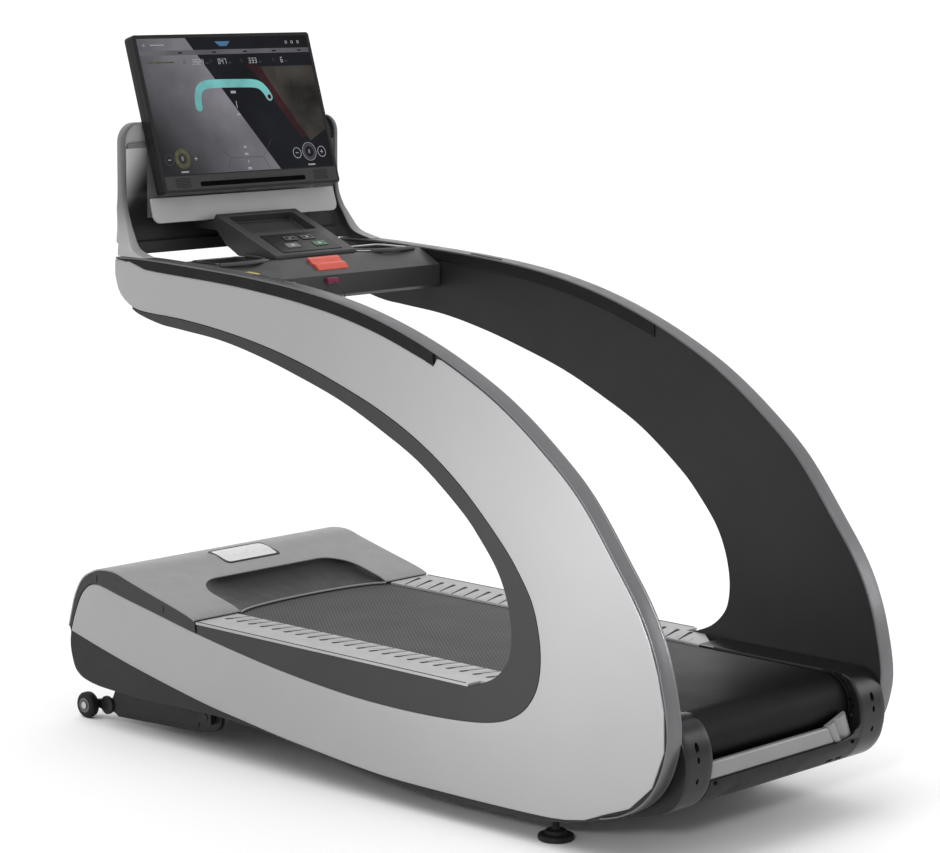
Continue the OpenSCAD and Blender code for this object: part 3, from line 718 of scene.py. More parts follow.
# apron: bowed light-grey bar with rounded lower corners, on its carrier
apron_out = ([(330, 1414), (-330, 1414)]
             + arc(-312, 1370, 20, range(180, 271, 10)) + arc(312, 1370, 20, range(270, 361, 10)))
AP = (Vector((0, 772, 1350)), Vector((1, 0, 0)), Vector((0, 18, 64)) / 66.48, Vector((0, 64, -18)) / 66.48)
ap_pts = [(x, (z - 1350) * 66.48 / 64) for x, z in apron_out]
piece("apron_panel", prism(AP, ap_pts, 0.4, 6.5).join(
    prism(YZ, [(788, 1378), (794, 1400), (838, 1400), (838, 1378)], -278, 278)), "apron",
    replaces="apron_bar", bevel=1.6)
piece("screen_arm", prism(YZ, [(793, 1450), (818.2, 1530), (838, 1530), (838, 1450)], -88, 88), "frame",
      replaces="screen_bracket", bevel=2.5)

W, H = 317.5, 423.5
# housing: rounded front frame, a slimmer tapered back with cooling slots, grille holes and a slot in the chin
rings = []
for w, inset, r in ((0, 1.6, 8), (0.4, 0.5, 8.6), (1.6, 0, 9), (12, 0, 9), (13.2, 0.9, 9), (14.4, 0, 9),
                    (30, 0, 9), (33.5, 1, 9), (36, 3.5, 9)):
    rings.append([place(SCREEN, (x, y, w)) for x, y in rrect(-W + inset, inset, W - inset, H - inset, r)])
cuts = [pad(SCREEN, (-306, 46, 306, 414, 1.5, 3), -2, 3.0)]
cuts.append(pad(SCREEN, (-190, 13, 190, 26, 6, 6), -2, 2.6))
for k in range(9):
    for x0, x1 in ((-150, -20), (20, 150)):
        cuts.append(pad(SCREEN, (x0, 90 + k * 12, x1, 95 + k * 12, 2, 3), 33, 40))
piece("screen_case", loft(rings), "case", replaces="screen_housing", cuts=cuts,
      bevel=0.7, seg=2, angle=40)
piece("screen_face", pad(SCREEN, (-305.6, 46.4, 305.6, 413.6, 1.4, 3), 0.5, 3.0), "glass",
      replaces="screen_glass", bevel=0.3, seg=2)
piece("screen_chin", pad(SCREEN, (-309, 6.5, 309, 43.5, 3, 4), -0.9, 0.3), "chin",
      cuts=[pad(SCREEN, (-190, 13, 190, 26, 6, 6), -3, 2.6)], bevel=0.5, seg=2)
piece("screen_slot", pad(SCREEN, (-189.4, 13.6, 189.4, 25.4, 5.6, 6), 1.4, 2.5), "hole",
      bevel=0.2, seg=1)
piece("screen_ledge", pad(SCREEN, (-96, 29.5, 196, 38.5, 2.5, 4), -1.9, -0.5), "chin",
      bevel=0.8, seg=2)
# two grilles of small dimples each side of the chin slot
gr = Shape()
for cx in (-249, 247):
    for i in range(13):
        for j in range(7):
            x, y = cx + (i - 6) * 4.0 + (j % 2) * 2.0, 25 + (j - 3) * 3.9
            gr.join(prism(SCREEN, disc(x, y, 1.15, 8), -1.1, -0.5))
piece("screen_grilles", gr, "hole", smooth=20)


def picture():
    """A plain training screen: header band, figures, an arc gauge and two dial groups."""
    sh = Shape()
    L = {"glare": 0, "dim": 1, "warm": 2, "wine": 3, "teal": 4, "header": 5, "white": 6, "faint": 7,
         "olive": 8, "blue": 9}

    def flat(pts, key, lift):
        sh.join(prism(SCREEN, pts, -lift * 0.05 + 0.45, 0.5, L[key]))

    def bar(x0, y0, x1, y1, key, lift=4):
        flat(rect(x0, y0, x1, y1), key, lift)

    def ringed(cx, cy, r0, r1, key, lift=5, n=40):
        outer, inner = (arc(cx, cy, r, [360 * i / n for i in range(n + 1)]) for r in (r1, r0))
        for i in range(n):
            flat([outer[i], outer[i + 1], inner[i + 1], inner[i]], key, lift)

    def stroke(P, w, key, lift=6):
        a = para(P, w / 2)
        b = para(P, -w / 2)
        for i in range(len(P) - 1):
            flat([a[i], a[i + 1], b[i + 1], b[i]], key, lift)

    def digit(c, x, y, h, w):
        t = h * 0.12
        seg = {"a": (x, y + h - t, x + w, y + h), "g": (x, y + h / 2 - t / 2, x + w, y + h / 2 + t / 2),
               "d": (x, y, x + w, y + t), "f": (x, y + h / 2, x + t, y + h), "e": (x, y, x + t, y + h / 2),
               "b": (x + w - t, y + h / 2, x + w, y + h), "c": (x + w - t, y, x + w, y + h / 2)}
        for k in {"0": "abcdef", "1": "bc", "2": "abged", "3": "abgcd", "4": "fgbc", "5": "afgcd",
                  "6": "afgedc", "7": "abc", "8": "abcdefg", "9": "abcdfg"}[c]:
            bar(*seg[k], "white", 5)

    # painted reflection: a grey glare fills the left of the screen up to a slanted line
    g_top, g_bot = (-136, 413), (108, 47)
    flat([(-305, 47), g_bot, g_top, (-305, 413)], "glare", 1)
    flat([g_bot, (305, 47), (305, 413), g_top], "dim", 1)
    flat([(111, 330), (305, 330), (305, 150), (240, 120), (205, 170), (150, 262)], "warm", 2)
    flat([(60, 340), (112, 330), (150, 262), (232, 136), (210, 128), (140, 232), (96, 300)], "wine", 2)
    bar(-305, 367, 305, 380, "header", 3)
    for x in (-170, -50, 62, 168, 262):
        bar(x, 371, x + 14, 375, "dim", 4)
    flat([(-34, 402), (21, 402), (6, 389), (-18, 389)], "blue", 4)
    bar(-262, 394, -214, 396.5, "white", 4)
    ringed(-284, 395, 2, 3.4, "white", 4, n=12)
    for x in (226, 248, 270):
        ringed(x, 396, 2.6, 4.4, "white", 4, n=14)
    bar(-284, 346, -190, 350, "olive", 4)
    for x0, txt in ((-128, "3924"), (-36, "047"), (74, "333"), (192, "6")):
        for k, c in enumerate(txt):
            digit(c, x0 + k * 11, 340, 15, w=7.5)
        ringed(x0 - 26, 348, 3.4, 4.6, "faint", 4, n=14)
        bar(x0 + len(txt) * 11 + 4, 342, x0 + len(txt) * 11 + 13, 345, "faint", 4)
    gauge = curve([(-137, 225), (-134, 250), (-122, 274), (-98, 285), (-50, 287), (20, 286), (74, 284),
                   (98, 277), (113, 262), (122, 246)], 5)
    stroke(gauge, 23, "teal")
    ringed(-137, 225, 0, 11.5, "teal", 6, n=24)
    ringed(122, 246, 0, 11.5, "teal", 6, n=24)
    ringed(122, 246, 0, 6.5, "dim", 8, n=24)
    ringed(122, 246, 6.5, 8.6, "white", 8, n=24)
    bar(-14, 259, 4, 266, "white")
    digit("1", -9, 219, 19, w=8)
    bar(-8, 198, 4, 204, "white")
    for pts in ([(-84, 108), (-64, 85), (54, 83), (95, 128)], [(-64, 85), (-82, 50)], [(54, 83), (70, 50)]):
        stroke(pts, 1.2, "faint", 3)
    for x, y, w, h in ((-9, 109, 9, 6), (-11, 90, 13, 6), (-4, 69, 3, 7), (-9, 51, 13, 6)):
        bar(x, y, x + w, y + h, "white")
    for cx, key in ((-232, "olive"), (226, "faint")):
        cy = 90
        ringed(cx, cy, 15, 27 if key == "olive" else 22, key, 4)
        ringed(cx, cy, 24, 25.4, "faint" if key == "olive" else "white", 6)
        digit("8", cx - 3, cy - 5, 10, w=5)
        for dx in (-46, 46):
            ringed(cx + dx, cy - 2, 13.4, 15.2, "faint" if key == "olive" else "white", 4, n=28)
            bar(cx + dx - 5, cy - 3, cx + dx + 5, cy - 1, "white")
        bar(cx + 45, cy - 7, cx + 47, cy + 3, "white")
        bar(cx - 14, cy - 38, cx + 12, cy - 34, "white")
    piece("screen_picture", sh, list(L), smooth=20)


picture()


# ---------------------------------------------------------------- console
shelf_side = [(430, 1222), (505.3, 1262), (640, 1262), (640, 1180), (560, 1164), (438, 1160), (430, 1168)]
tray = [pad(XY, (x0, 512, x1, 624, 22, 8), 1212, 1275) for x0, x1 in ((-341, -165), (165, 341))]
piece("shelf_body", prism(YZ, shelf_side, -379.5, 379.5), "shelf", replaces="console_deck",
      cuts=tray + [pad(SHELF, (-55.5, 21.5, 55.5, 76.5, 3, 4), -16, 20),
                   pad(XZ, (-43.5, 1201.5, -18.5, 1214.5, 2, 3), 418, 442)], bevel=3.0, angle=28)
# a low flowing edge along the shelf's front, and the raised rims round both trays
rim = Shape()
for _, s in SIDES:
    x0, x1 = sided(s, 163, 343)
    P = [Vector((x, y, 1264.8)) for x, y in rrect(x0, 510, x1, 626, 24, 8)]
    n = len(P)
    v = []
    for i, p in enumerate(P):
        t = (P[(i + 1) % n] - P[i - 1]).normalized()
        v += [p + Vector((t.y * a, -t.x * a, 1.3 * b / 4.5)) for a, b in disc(0, 0, 4.5, 8)]
    rim.add(v, [(i * 8 + k, i * 8 + (k + 1) % 8, (i + 1) % n * 8 + (k + 1) % 8, (i + 1) % n * 8 + k)
                for i in range(n) for k in range(8)])
piece("tray_trim", rim, "chrome", replaces="tray_rims", smooth=60)

for side, s in SIDES:
    # a rounded lip that runs round the tray's corner and up to the keypad unit
    way = curve([(352, 503, 1262.5), (310, 497, 1263.2), (262, 494, 1263.6), (222, 499, 1264),
                 (190, 513, 1264.3), (168, 540, 1264.6), (156, 580, 1264.6), (150, 636, 1264)], 6)
    piece("shelf_sweep_" + side, tube([(s * x, y, z) for x, y, z in way], 6.5, 14, flat=0.62), "shelf",
          smooth=60)
unit_side = [(515, 1262), (515, 1272), (745, 1365.9), (757, 1346), (838, 1346), (838, 1325), (745, 1325),
             (705, 1287), (659, 1262)]
key_spots = [(52, 45), (-46, 45), (38, 82), (-24, 82)]
cuts = [pad(UNIT, (-118, 130, 118, 232, 10, 5), -22, 30), pad(UNIT, (-107, 13, 107, 113, 4, 4), -4, 10)]
piece("unit_body", prism(YZ, unit_side, -145, 145), "unit", replaces="console_unit",
      bevel=3.2, angle=28,
      cuts=cuts + [prism(UNIT, rect(x - 23, y - 12, x + 23, y + 12), -13, -3) for x, y in key_spots])
plate = pad(UNIT, (-106.5, 13.5, 106.5, 112.5, 3.5, 4), -4, 1)
piece("keypad_face", plate, "gloss", replaces="keypad_plate", bevel=0.5, seg=2,
      cuts=[pad(UNIT, (x - 22.7, y - 11.7, x + 22.7, y + 11.7, 3, 4), -6, 4) for x, y in key_spots])
for (kx, ky), name, tone, sign in zip(key_spots, ("start", "stop", "faster", "slower"),
                                      ("green", "keygrey", "gloss", "gloss"), "><+-"):
    cap = pad(UNIT, (kx - 21.8, ky - 10.8, kx + 21.8, ky + 10.8, 2.6, 4), -7.4, 3.2)
    piece("key_cap_" + name, cap, tone, body=name + "_key", replaces="key_" + name, bevel=1.1)
    sh = Shape()
    if sign == ">":
        sh.join(prism(UNIT, [(kx - 5, ky - 6), (kx + 7, ky), (kx - 5, ky + 6)], 3.2, 3.5))
    elif sign == "<":
        sh.join(pad(UNIT, (kx - 5, ky - 5, kx + 5, ky + 5, 1, 3), 3.2, 3.5))
    else:
        sh.join(pad(UNIT, (kx - 6, ky - 1, kx + 6, ky + 1, 0.4, 2), 3.2, 3.5))
        if sign == "+":
            sh.join(pad(UNIT, (kx - 1, ky - 6, kx + 1, ky + 6, 0.4, 2), 3.2, 3.6))
    r = rrect(kx - 19.6, ky - 8.6, kx + 19.6, ky + 8.6, 2, 4)
    inner = [(kx + (x - kx) * 0.965, ky + (y - ky) * 0.92) for x, y in r]
    for i in range(len(r)):
        sh.join(prism(UNIT, [r[i - 1], r[i], inner[i], inner[i - 1]], 3.2, 3.4))
    piece("key_mark_" + name, sh, "mark", body=name + "_key", smooth=20)

# emergency stop: a broad two-step paddle with a raised ridge
stop = [(22.5, -8), (75.5, -8), (75.5, 7.6), (66, 8), (52, 4.2), (47, 6.8), (40, 8.6), (30, 5.0), (22.5, 1.4)]
ST = (SHELF[0], SHELF[2], SHELF[3], Vector((1, 0, 0)))
piece("stop_paddle", prism(ST, stop, -54.6, 54.6), "red", body="emergency_stop",
      replaces="estop_button", bevel=1.8, angle=14, seg=4, smooth=50)

# safety key with its cord and clip
piece("pull_key", pad(XZ, (-49.6, 1200.4, -12.4, 1215.6, 4, 5), 418.2, 429.4).join(
    pad(XZ, (-43, 1202, -19, 1214, 1.5, 3), 429, 440.8)), "magenta", body="safety_pull",
    replaces="safety_key", bevel=1.5)
lanyard = [(-28, 417, 1204), (-26, 407, 1196), (-14, 402, 1180), (-5, 403, 1160), (-4, 406, 1110),
           (-12, 412, 1050), (-40, 420, 1012), (-80, 430, 1004), (-116, 440, 1035), (-130, 448, 1090),
           (-134, 452, 1135.6)]
line = resample(curve(lanyard, 8), 40)
cord = piece("pull_cord", tube(line, 1.5, 10), "cord", body="safety_pull",
             replaces="safety_lanyard", smooth=60)
clip = piece("pull_clip", pad(XZ, (-142, 1136, -126, 1159.5, 4, 5), 446, 458), "inlet",
    body="safety_pull", replaces="lanyard_clip", bevel=1.2)


# ---------------------------------------------------------------- hood
def hood():
    ys = sorted(set([round(p[0], 3) for p in resample(hood_top, 46)] + [621, 706, 521]))
    ys = [y for y in ys if not (0 < abs(y - 706) < 6 or 0 < abs(y - 621) < 4)]

    def edge(y):
        if y <= 621:
            return 270.0
        if y < 706:
            return 185 + math.sqrt(max(0, 85 ** 2 - (y - 621) ** 2))
        return 185.0
    extra = [621 + 85 * sin(rad(a)) for a in (12, 24, 36, 48, 60, 70, 78, 84, 88)]
    ys = sorted(set([y for y in ys if y < 621 or y > 706] + [621] + extra + [706]))
    sh, cols = Shape(), 18

    def row(y, x0, x1):
        return [(x0 + (x1 - x0) * c / cols, y, at(hood_top, y)) for c in range(cols + 1)]

    for s in (-1, 1):
        rows = [row(y, s * edge(y), s * 430) for y in ys]
        sh.join(loft(rows, closed=False, caps=False))
    rows = [row(y, -185, 185) for y in ys if y >= 706]
    sh.join(loft(rows, closed=False, caps=False))
    o = raw("hood_skin", sh, [M["hood"]])
    bm = bmesh.new()
    bm.from_mesh(o.data)
    bmesh.ops.remove_doubles(bm, verts=bm.verts, dist=1e-5)
    for f in bm.faces:
        if f.normal.z < 0 or (abs(f.normal.z) < 0.05 and f.normal.y < 0):
            f.normal_flip()
    bm.to_mesh(o.data)
    bm.free()
    b = o.modifiers.new("solid", "SOLIDIFY")
    b.thickness, b.offset, b.use_even_offset = 0.004, -1, True
    bake(o)
    rounded(o, 1.6, 3, 50)
    bake(o)
    shade(o, 40)
    fix(o, "hood_cover")


hood()


def scoop():
    """The dark hollow over the front of the belt: from the rim in the hood down to a bowed lip."""
    rim = [(-270, y) for y in (523, 545, 565, 585, 605)]
    rim += arc(-185, 621, 85, range(180, 89, -9))
    rim += [(x, 706) for x in range(-165, 166, 15)]
    rim += arc(185, 621, 85, range(90, -1, -9))
    rim += [(270, y) for y in (605, 585, 565, 545, 523)]
    n = len(rim)
    lip = resample(curve([(-269, 522), (-240, 537), (-200, 549), (-120, 560), (0, 565), (120, 560),
                          (200, 549), (240, 537), (269, 522)], 8), n)
    rows = []
    for k in range(15):
        t = k / 14
        bulge = sin(math.pi * t)
        row = []
        for (rx, ry), (lx, ly) in zip(rim, lip):
            zr = at(hood_top, ry) - 3.0
            x = rx + (lx - rx) * t
            y = ry + (ly - ry) * t ** 1.25
            z = zr + (349.6 - zr) * (t ** 0.8)
            z -= bulge * 3.0 * min(1, (zr - 352) / 30)
            row.append((x, y, max(z, 348.6)))
        rows.append(row)
    sh = loft(rows, closed=False, caps=False)
    o = raw("hood_scoop", sh, [M["scoop"]])
    b = o.modifiers.new("solid", "SOLIDIFY")
    b.thickness, b.offset = 0.0012, 0
    bake(o)
    shade(o, 50)
    fix(o, "hood_recess")
    lip3 = [(x, y - 1.5, 351.2) for x, y in resample(lip, 60)]
    piece("hood_lip", tube(lip3, 3.0, 12), "hood", smooth=60)
    # the hood's rear edges each side of the scoop, turned down to the rails
    sh = Shape()
    for s in (-1, 1):
        sh.join(prism(YZ, [(519.5, 353.5), (521.5, 357.5), (527, 357), (530, 352.6)], *sided(s, 271, 429)))
    piece("hood_heel", sh, "hood", bevel=1.2)


scoop()


def badge():
    """A plain plate in a dark rim, laid along the hood."""
    def on_hood(x, y, lift):
        return (x, y, at(hood_top, y) + lift)
    steps = ((0.0, (-88, 764, 112, 858, 16)), (1.7, (-86.5, 765.5, 110.5, 856.5, 15)),
             (1.9, (-80, 771, 104, 851, 11)), (0.9, (-78, 773, 102, 849, 10)))
    rings = [[on_hood(*p, lift) for p in rrect(*box)] for lift, box in steps]
    sh = loft(rings, True, False)
    piece("badge_rim", sh, "case", smooth=40)
    xs = [-80 + 184 * k / 12 for k in range(13)]
    ys = [771 + 80 * k / 10 for k in range(11)]
    rows = [[on_hood(x, y, 1.1) for x in xs] for y in ys]
    piece("badge_plate", loft(rows, False, False), "plate", replaces="hood_badge",
          smooth=40)


badge()


# front shell and underside
def shell(name, keep, thick, node, cuts):
    line = [p for p in belly if keep(p)]
    piece(name, prism(YZ, line + para(line, thick)[::-1], -384, 384), "charcoal", replaces=node, cuts=cuts,
          bevel=1.4, angle=50)


shell("front_panel", lambda p: p[0] > 620, 5, "front_shell",
      [pad(XY, (115, 820, 185, 880, 4, 3), 100, 130), pad(XZ, (-312, 172, -228, 208, 2, 3), 1000, 1040)])
shell("belly_tray", lambda p: p[0] < 500, 4, "belly_pan",
      [prism(XY, disc(s * 350, -648, 14, 24), 30, 90) for _, s in SIDES])


# ---------------------------------------------------------------- deck, belt and rails
def belt():
    ry, fy, z, hw = -953, 640, 277, 272
    out, ins = [], []
    for r, dst in ((70, out), (67.1, ins)):
        dst += arc(ry, z, r, range(90, 271, 4))
        dst += [(ry + (fy - ry) * k / 20, z - r) for k in range(1, 20)]
        dst += arc(fy, z, r, range(-90, 91, 4))
        dst += [(fy + (ry - fy) * k / 20, z + r) for k in range(1, 20)]
    rings = []
    for o, i in zip(out, ins):
        rings.append([(-hw, *i), (-hw, *o), (-hw + 0.8, *o), (0, *o), (hw - 0.8, *o), (hw, *o), (hw, *i),
                      (0, *i)])
    rings.append(rings[0])
    o = piece("running_mat", loft(rings, True, False), "belt", replaces="running_belt",
              smooth=30)
    # U across the belt and V along the loop, both in metres
    uv = o.data.uv_layers.new(name="along")
    for loop in o.data.loops:
        x, y, zz = o.data.vertices[loop.vertex_index].co
        if y < ry / 1000:
            a = math.atan2(zz - z / 1000, -(y - ry / 1000))
            v = ry / 1000 - (math.pi / 2 - a) * 0.07
        elif y > fy / 1000:
            a = math.atan2(zz - z / 1000, y - fy / 1000)
            v = fy / 1000 + (math.pi / 2 - a) * 0.07
        else:
            v = y if zz > z / 1000 else ry / 1000 * 2 - math.pi * 0.07 - y
        uv.data[loop.index].uv = (x, v)


belt()
for side, s in SIDES:
    # foot rail with rolled edges and a step down to its outer margin; the tread bars stand proud
    light = [(283, -606), (384, -498), (384, -436), (429.5, -436), (429.5, 517), (283, 517)]
    o = [(s * x, y) for x, y in light]
    piece("rail_" + side + "_tread", prism(XY, o, 344.2, 351.4), "rail",
          replaces="rail_" + side, bevel=1.2, angle=40)
    sh, lift = Shape(), Shape()
    out = 66 if s < 0 else 92
    y = -622
    while y < 500:
        a, b = (285.5, y), (285.5 + out, y + out * 0.33)
        # a dark groove, thin at the belt and thick outside, and a low wedge behind it
        q = [(a[0], a[1] - 1.6), (b[0] - 3, b[1] - 6.0), (b[0], b[1] - 4.5), (b[0] + 1.2, b[1]),
             (b[0], b[1] + 4.5), (b[0] - 3, b[1] + 6.0), (a[0], a[1] + 1.6)]
        if all(v > -600 + (u - 283) * 1.1 and v < 512 for u, v in q):
            sh.join(prism(XY, [(s * u, v) for u, v in q], 351.2, 351.9))
            w = [(a[0], a[1] - 30), (a[0] + out * 0.45, a[1] - 30 + out * 0.15),
                 (a[0] + out * 0.75, a[1] + out * 0.2), (a[0], a[1] - 3)]
            if all(v > -600 + (u - 283) * 1.1 for u, v in w):
                lift.join(prism(XY, [(s * u, v) for u, v in w], 351.1, 351.98))
        y += 43.5
    piece("rail_" + side + "_wedges", lift, "rail", smooth=20)
    # a dark line and a pale edge along the rail's outer side, under the arm's lining
    piece("rail_" + side + "_line", prism(XY, rect(s * 424.4, -428, s * 428.9, 514), 351.1, 351.9), "bar",
          smooth=20)
    piece("rail_" + side + "_bars", sh, "bar", smooth=20)
    # painted shade: a black strip between rail and belt, where the gap lies in shade
    piece("rail_" + side + "_painted_gap_shade", prism(XY, rect(s * 272.4, -930, s * 281.5, 517), 344.1, 345.6), "hole",
          bevel=0.3)


# ---------------------------------------------------------------- rear end
def rear():
    path = resample(tail, 150)
    for side, s in SIDES:
        # block skin over the rear corner, with a rolled inner edge and fixing holes
        prof = [(282.5, 9), (282.5, 3.0), (283.2, 1.5), (284.6, 0.5), (287.0, 0.05), (300, 0), (330, 0),
                (360, 0), (376.5, 0), (378.8, 0.5), (379.6, 1.6), (379.6, 9)]
        holes = []
        for y, z, a, r in ((-1049, 292, 18, 8.5), (-1054, 264, 6, 6.0), (-1052, 214, -10, 5.5)):
            fr = axes((0, y, z), (1, 0, 0), (0, -sin(rad(a)), cos(rad(a))), (0, cos(rad(a)), sin(rad(a))))
            holes.append(prism(fr, [(s * 334 + 0.8 * u, 1.25 * v) for u, v in disc(0, 0, r, 20)], -14, 13))
        piece("tail_block_" + side, swept(path, prof, s), "tail",
              replaces=(["rear_cover"] if s < 0 else ()), cuts=holes, smooth=35)
        # end cheek facing the belt: a plate with stepped rings round the roller's end
        cheek = [(-560, 351)] + [q for q in para(path, 1.2) if q[0] < -560]
        cheek += [(-900, 118), (-900, 343.8), (-560, 343.8)]
        piece("tail_cheek_" + side, slab(s, cheek, 283, 286.6), "cheekdark", bevel=0.8, angle=50)
        for r0, r1, depth, tone in ((84, 79, 5.6, "tail"), (76.5, 73.5, 10.4, "cheekdark")):
            pts0, pts1 = ([(y, 277 + min(most, z)) for y, z in arc(-953, 0, r, range(84, 232, 4))]
                          for r, most in ((r0, 74), (r1, 70)))
            pts1 = [(p[0] + (0.4 if abs(p[0] - q[0]) < 0.3 else 0),
                     p[1] - (0.6 if abs(p[1] - q[1]) < 0.3 else 0)) for p, q in zip(pts1, pts0)]
            sh = Shape()
            for i in range(len(pts0) - 1):
                sh.join(slab(s, [pts0[i], pts0[i + 1], pts1[i + 1], pts1[i]], 283 - depth, 283.4))
            piece("belt_ring_%s_%d" % (side, r0), sh, tone, smooth=40)
        # outer side of the corner block, beside the arm
        piece("tail_side_" + side, slab(s, cheek, 375.4, 378.9), "tail", bevel=0.8, angle=50)
    # the step across the rear, cut at a slant on the right for the folded bracket that leans under the belt
    step = [(-1043.5, 204), (-1046, 208), (-1044.5, 241), (-1041, 245), (-1031, 245), (-1031, 204)]
    piece("rear_step", prism(YZ, step, -281, 240), "crossbar", replaces="rear_crossbar",
          bevel=1.4, cuts=[prism(XZ, [(197, 196), (165, 252), (300, 252), (300, 196)], -1060, -1020)])
    fold = [(0, 0), (4, -4.6), (12, -7), (22, -7), (29, -4), (33, 1.5), (38, 1.5), (43, -3.6), (51, -6),
            (64, -6), (71, -3.4), (75, 2), (75, 8), (0, 8)]
    rings = [[(196 - 30 * t + dx, -1040 + dy, 203 + (45 + 23 * dx / 75) * t) for dx, dy in fold]
             for t in (0, 0.06, 0.5, 0.94, 1)]
    piece("rear_gusset", loft(rings), "crossbar", smooth=50)
    # rounded inner corner between the right block and the apron
    rear_face = [(z, y) for y, z in path[::-1] if 150 < z < 300]
    corner = [(200.5, 184), (203.2, 190), (205, 215), (210, 242), (217, 262), (226, 275), (238, 282),
              (250, 284)]
    rings = []
    for k in range(19):
        z = 200.5 + 49.5 * k / 18
        x, y = at(corner, z), at(rear_face, z) + 0.3
        rings.append([(x, y + 1, z), (x + 1, y, z), (290, y, z), (290, y + 6, z), (x, y + 6, z)])
    piece("rear_corner", loft(rings), "tail", smooth=40)
    # lower apron below the step, with slots near the right end and small screws
    low = [p for p in path if p[1] < 203]
    sh = prism(YZ, low + para(low, 8)[::-1], -282.2, 282.2)
    slots = [pad(XZ, (x, 150, x + 26, 157, 3, 4), -1060, -985) for x in (196, 232)]
    piece("rear_apron", sh, "apronlow", cuts=slots, bevel=1.0, angle=50)
    sc = Shape()
    for x in (-262, 262):
        fr = axes((x, -1050.5, 196), (1, 0, 0), (0, -0.22, 0.975), (0, -0.975, -0.22))
        sc.join(prism(fr, disc(0, 0, 5, 20), -2, 1.0))
    piece("rear_screws", sc, "hole", smooth=40)


rear()

# ---------------------------------------------------------------- lift, wheels and feet
wheel_prof = [(0, 7), (1.5, 7), (1.5, 13), (0, 15.5), (0, 20), (1.2, 23), (1.2, 28), (2.6, 32), (5, 34.2),
              (8, 35), (12.4, 35), (13.2, 34.2), (14.8, 34.2), (15.6, 35), (20, 35), (23, 34.2),
              (25.4, 32), (26.8, 28), (26.8, 23), (28, 20), (28, 15.5), (26.5, 13), (26.5, 7), (28, 7)]
for side, s in SIDES:
    sh = turned([(s * (352 + x), r) for x, r in wheel_prof], (1023, 35), 56)
    for i in range(len(sh.f)):
        k = i // 56
        sh.m[i] = 1 if k < 4 or k > 18 else 0
    piece("wheel_" + side, sh, ["tyre", "hub"], body=side + "_wheel",
          replaces="lift_wheel_" + side, smooth=40)
    piece("wheel_cap_" + side, turned([(s * 379, 0.5), (s * 379, 9.5), (s * 381.5, 9.5), (s * 382.6, 8.2),
                                       (s * 382.9, 5), (s * 382.2, 4.4), (s * 382.2, 0.5)], (1023, 35), 32),
          "zinc", body="lift", smooth=40)
lift_o = [(514, 82), (516, 64), (527, 49), (548, 40), (590, 31), (925, 14), (938, 22), (950, 24),
          (1023, 24), (1034, 35), (1023, 46), (950, 60), (938, 84), (925, 90), (560, 98), (528, 94)]
piece("lift_plates", slab(-1, lift_o, 330, 344).join(slab(1, lift_o, 330, 344)), "charcoal", body="lift",
      replaces="lift_frame", bevel=2.6, angle=20)
tubes = Shape()
for (x0, x1, y, z, r) in ((-364, 364, 560, 80, 12), (-335, 335, 560, 80, 15), (-335, 335, 850, 58, 15)):
    tubes.join(turned([(x0, 1), (x0, r - 1), (x0 + 1, r), (x1 - 1, r), (x1, r - 1), (x1, 1)], (y, z), 40))
for side, s in SIDES:
    tubes.join(turned([(s * 340, 1), (s * 340, 6), (s * 382, 6), (s * 382, 1)], (1023, 35), 32))
    tubes.join(turned([(s * 343, 1), (s * 343, 25), (s * 349, 25), (s * 350.6, 23.4), (s * 350.6, 10),
                       (s * 349, 9), (s * 349, 1)], (966, 40), 40))
piece("lift_tubes", tubes, "frame", body="lift", smooth=35)
ears = Shape()
xc = (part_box("lift_screw")[0][0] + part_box("lift_screw")[1][0]) * 500
for x in (xc - 16, xc + 8):
    ears.join(prism(YZ, [(838, 58), (862, 58), (862, 96), (856, 103), (844, 103), (838, 96)], x, x + 8))
ears.join(turned([(xc - 14, 1), (xc - 14, 6), (xc + 14, 6), (xc + 14, 1)], (850, 90), 24))
piece("lift_ears", ears, "frame", body="lift", bevel=0.8)
for side, s in SIDES:
    rib = [(600, 44), (900, 26), (912, 34), (912, 76), (900, 82), (600, 88)]
    piece("lift_rib_" + side, slab(s, rib, 343, 346.5), "charcoal", body="lift", bevel=2.0)
    foot = turned([(0, 0.5), (0, 30), (0.6, 38), (2, 41.6), (5, 43), (11, 43), (14, 41.5), (16, 37), (16, 27),
                   (17, 26), (24, 25), (26, 22), (26, 12), (30, 9), (40, 8), (126, 8), (126, 0.5)], (0, 0), 48)
    foot.v = [(p[1] + s * 350, p[2] - 648, p[0]) for p in foot.v]
    for i in range(20):
        a = 2 * math.pi * i / 20
        c, q = cos(a), sin(a)
        fr = axes((s * 350 + 41.6 * c, -648 + 41.6 * q, 0), (-q, c, 0), (c, q, 0), (0, 0, 1))
        foot.join(pad(fr, (-2.4, -1, 2.4, 1.3, 0.9, 3), 4, 12.4))
    piece("foot_" + side, foot, "foot", body=side + "_foot", replaces="rear_foot_" + side,
          smooth=40)


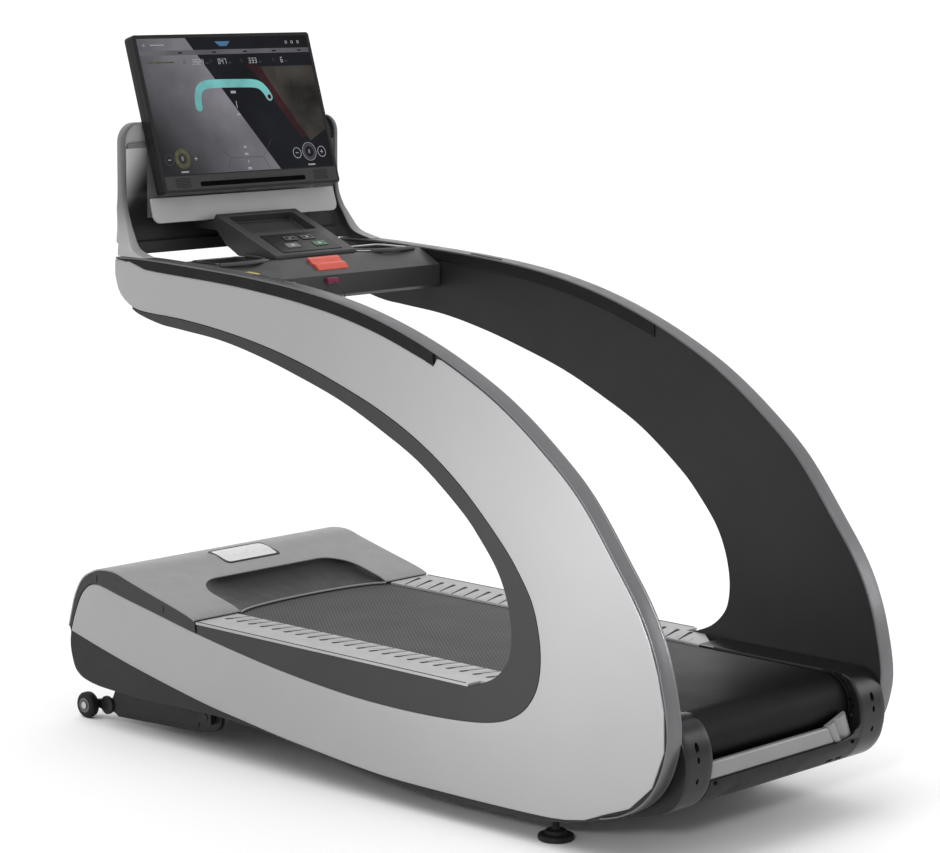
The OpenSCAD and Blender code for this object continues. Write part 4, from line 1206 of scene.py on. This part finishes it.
# ---------------------------------------------------------------- the CAD parts that keep their shape
KEEP = {
    "base_frame": "frame", "deck_frame": "frame", "roller_brackets": "frame", "deck_board": "wood",
    "deck_cushions": "foot", "front_roller": "steel", "rear_roller": "steel", "drive_motor": "motor",
    "motor_rotor": "steel", "drive_belt": "rubber", "controller_box": "box",
    "lift_actuator": "motor", "lift_screw": "zinc", "power_inlet": "inlet", "power_switch": "red",
}
for name, tone in KEEP.items():
    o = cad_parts[name]
    o.data.materials.clear()
    o.data.materials.append(M[tone])
    b = o.modifiers.new("weld", "WELD")
    b.merge_threshold = 1e-5
    if name not in ("front_roller", "rear_roller", "motor_rotor", "drive_belt"):
        rounded(o, 1.2, 2, 40)


# ---------------------------------------------------------------- floor, light and world
def aimed(name, kind, energy, where, target):
    light = bpy.data.lights.new(name, kind)
    light.energy = energy
    o = bpy.data.objects.new(name, light)
    scene.collection.objects.link(o)
    o.location = where
    o.rotation_mode = "QUATERNION"
    o.rotation_quaternion = (Vector(target) - o.location).to_track_quat("-Z", "Y")
    return light


def studio():
    me = bpy.data.meshes.new("floor")
    me.from_pydata([(-300, -300, 0), (300, -300, 0), (300, 300, 0), (-300, 300, 0)], [], [(0, 1, 2, 3)])
    o = bpy.data.objects.new("floor", me)
    scene.collection.objects.link(o)
    me.materials.append(mat("floor_pale", (0.90, 0.90, 0.90), 0.8, 0, 0.01, 0.5))
    w = bpy.data.worlds.new("studio")
    scene.world = w
    w.use_nodes = True
    t = w.node_tree
    bg = t.nodes["Background"]
    bg.inputs["Color"].default_value = (1, 1, 1, 1)
    # an even white room, darker behind the runner
    y = put(t, "SeparateXYZ", {"Vector": put(t, "TexCoord", {}).outputs["Generated"]}).outputs["Y"]
    feed(t, bg, {"Strength": span(t, y, -0.95, -0.15, 0.55, 1.0)})
    sun = bpy.data.lights.new("sky", "SUN")
    sun.energy, sun.angle = 1.1, rad(50)
    o = bpy.data.objects.new("sky", sun)
    scene.collection.objects.link(o)
    o.rotation_euler = (rad(-12), rad(-22), 0)
    spot = aimed("side", "SPOT", 1500, (-4.4, -3.2, 2.3), (-0.43, -0.88, 0.80))
    spot.spot_size, spot.spot_blend, spot.shadow_soft_size = rad(16), 1.0, 0.5
    rim = aimed("rim", "AREA", 20, (3.1, -2.9, 1.7), (0.3, -1.0, 0.4))
    rim.shape, rim.size, rim.size_y = "RECTANGLE", 1.4, 1.4


studio()
scene.view_settings.view_transform = "Standard"
scene.view_settings.look = "None"
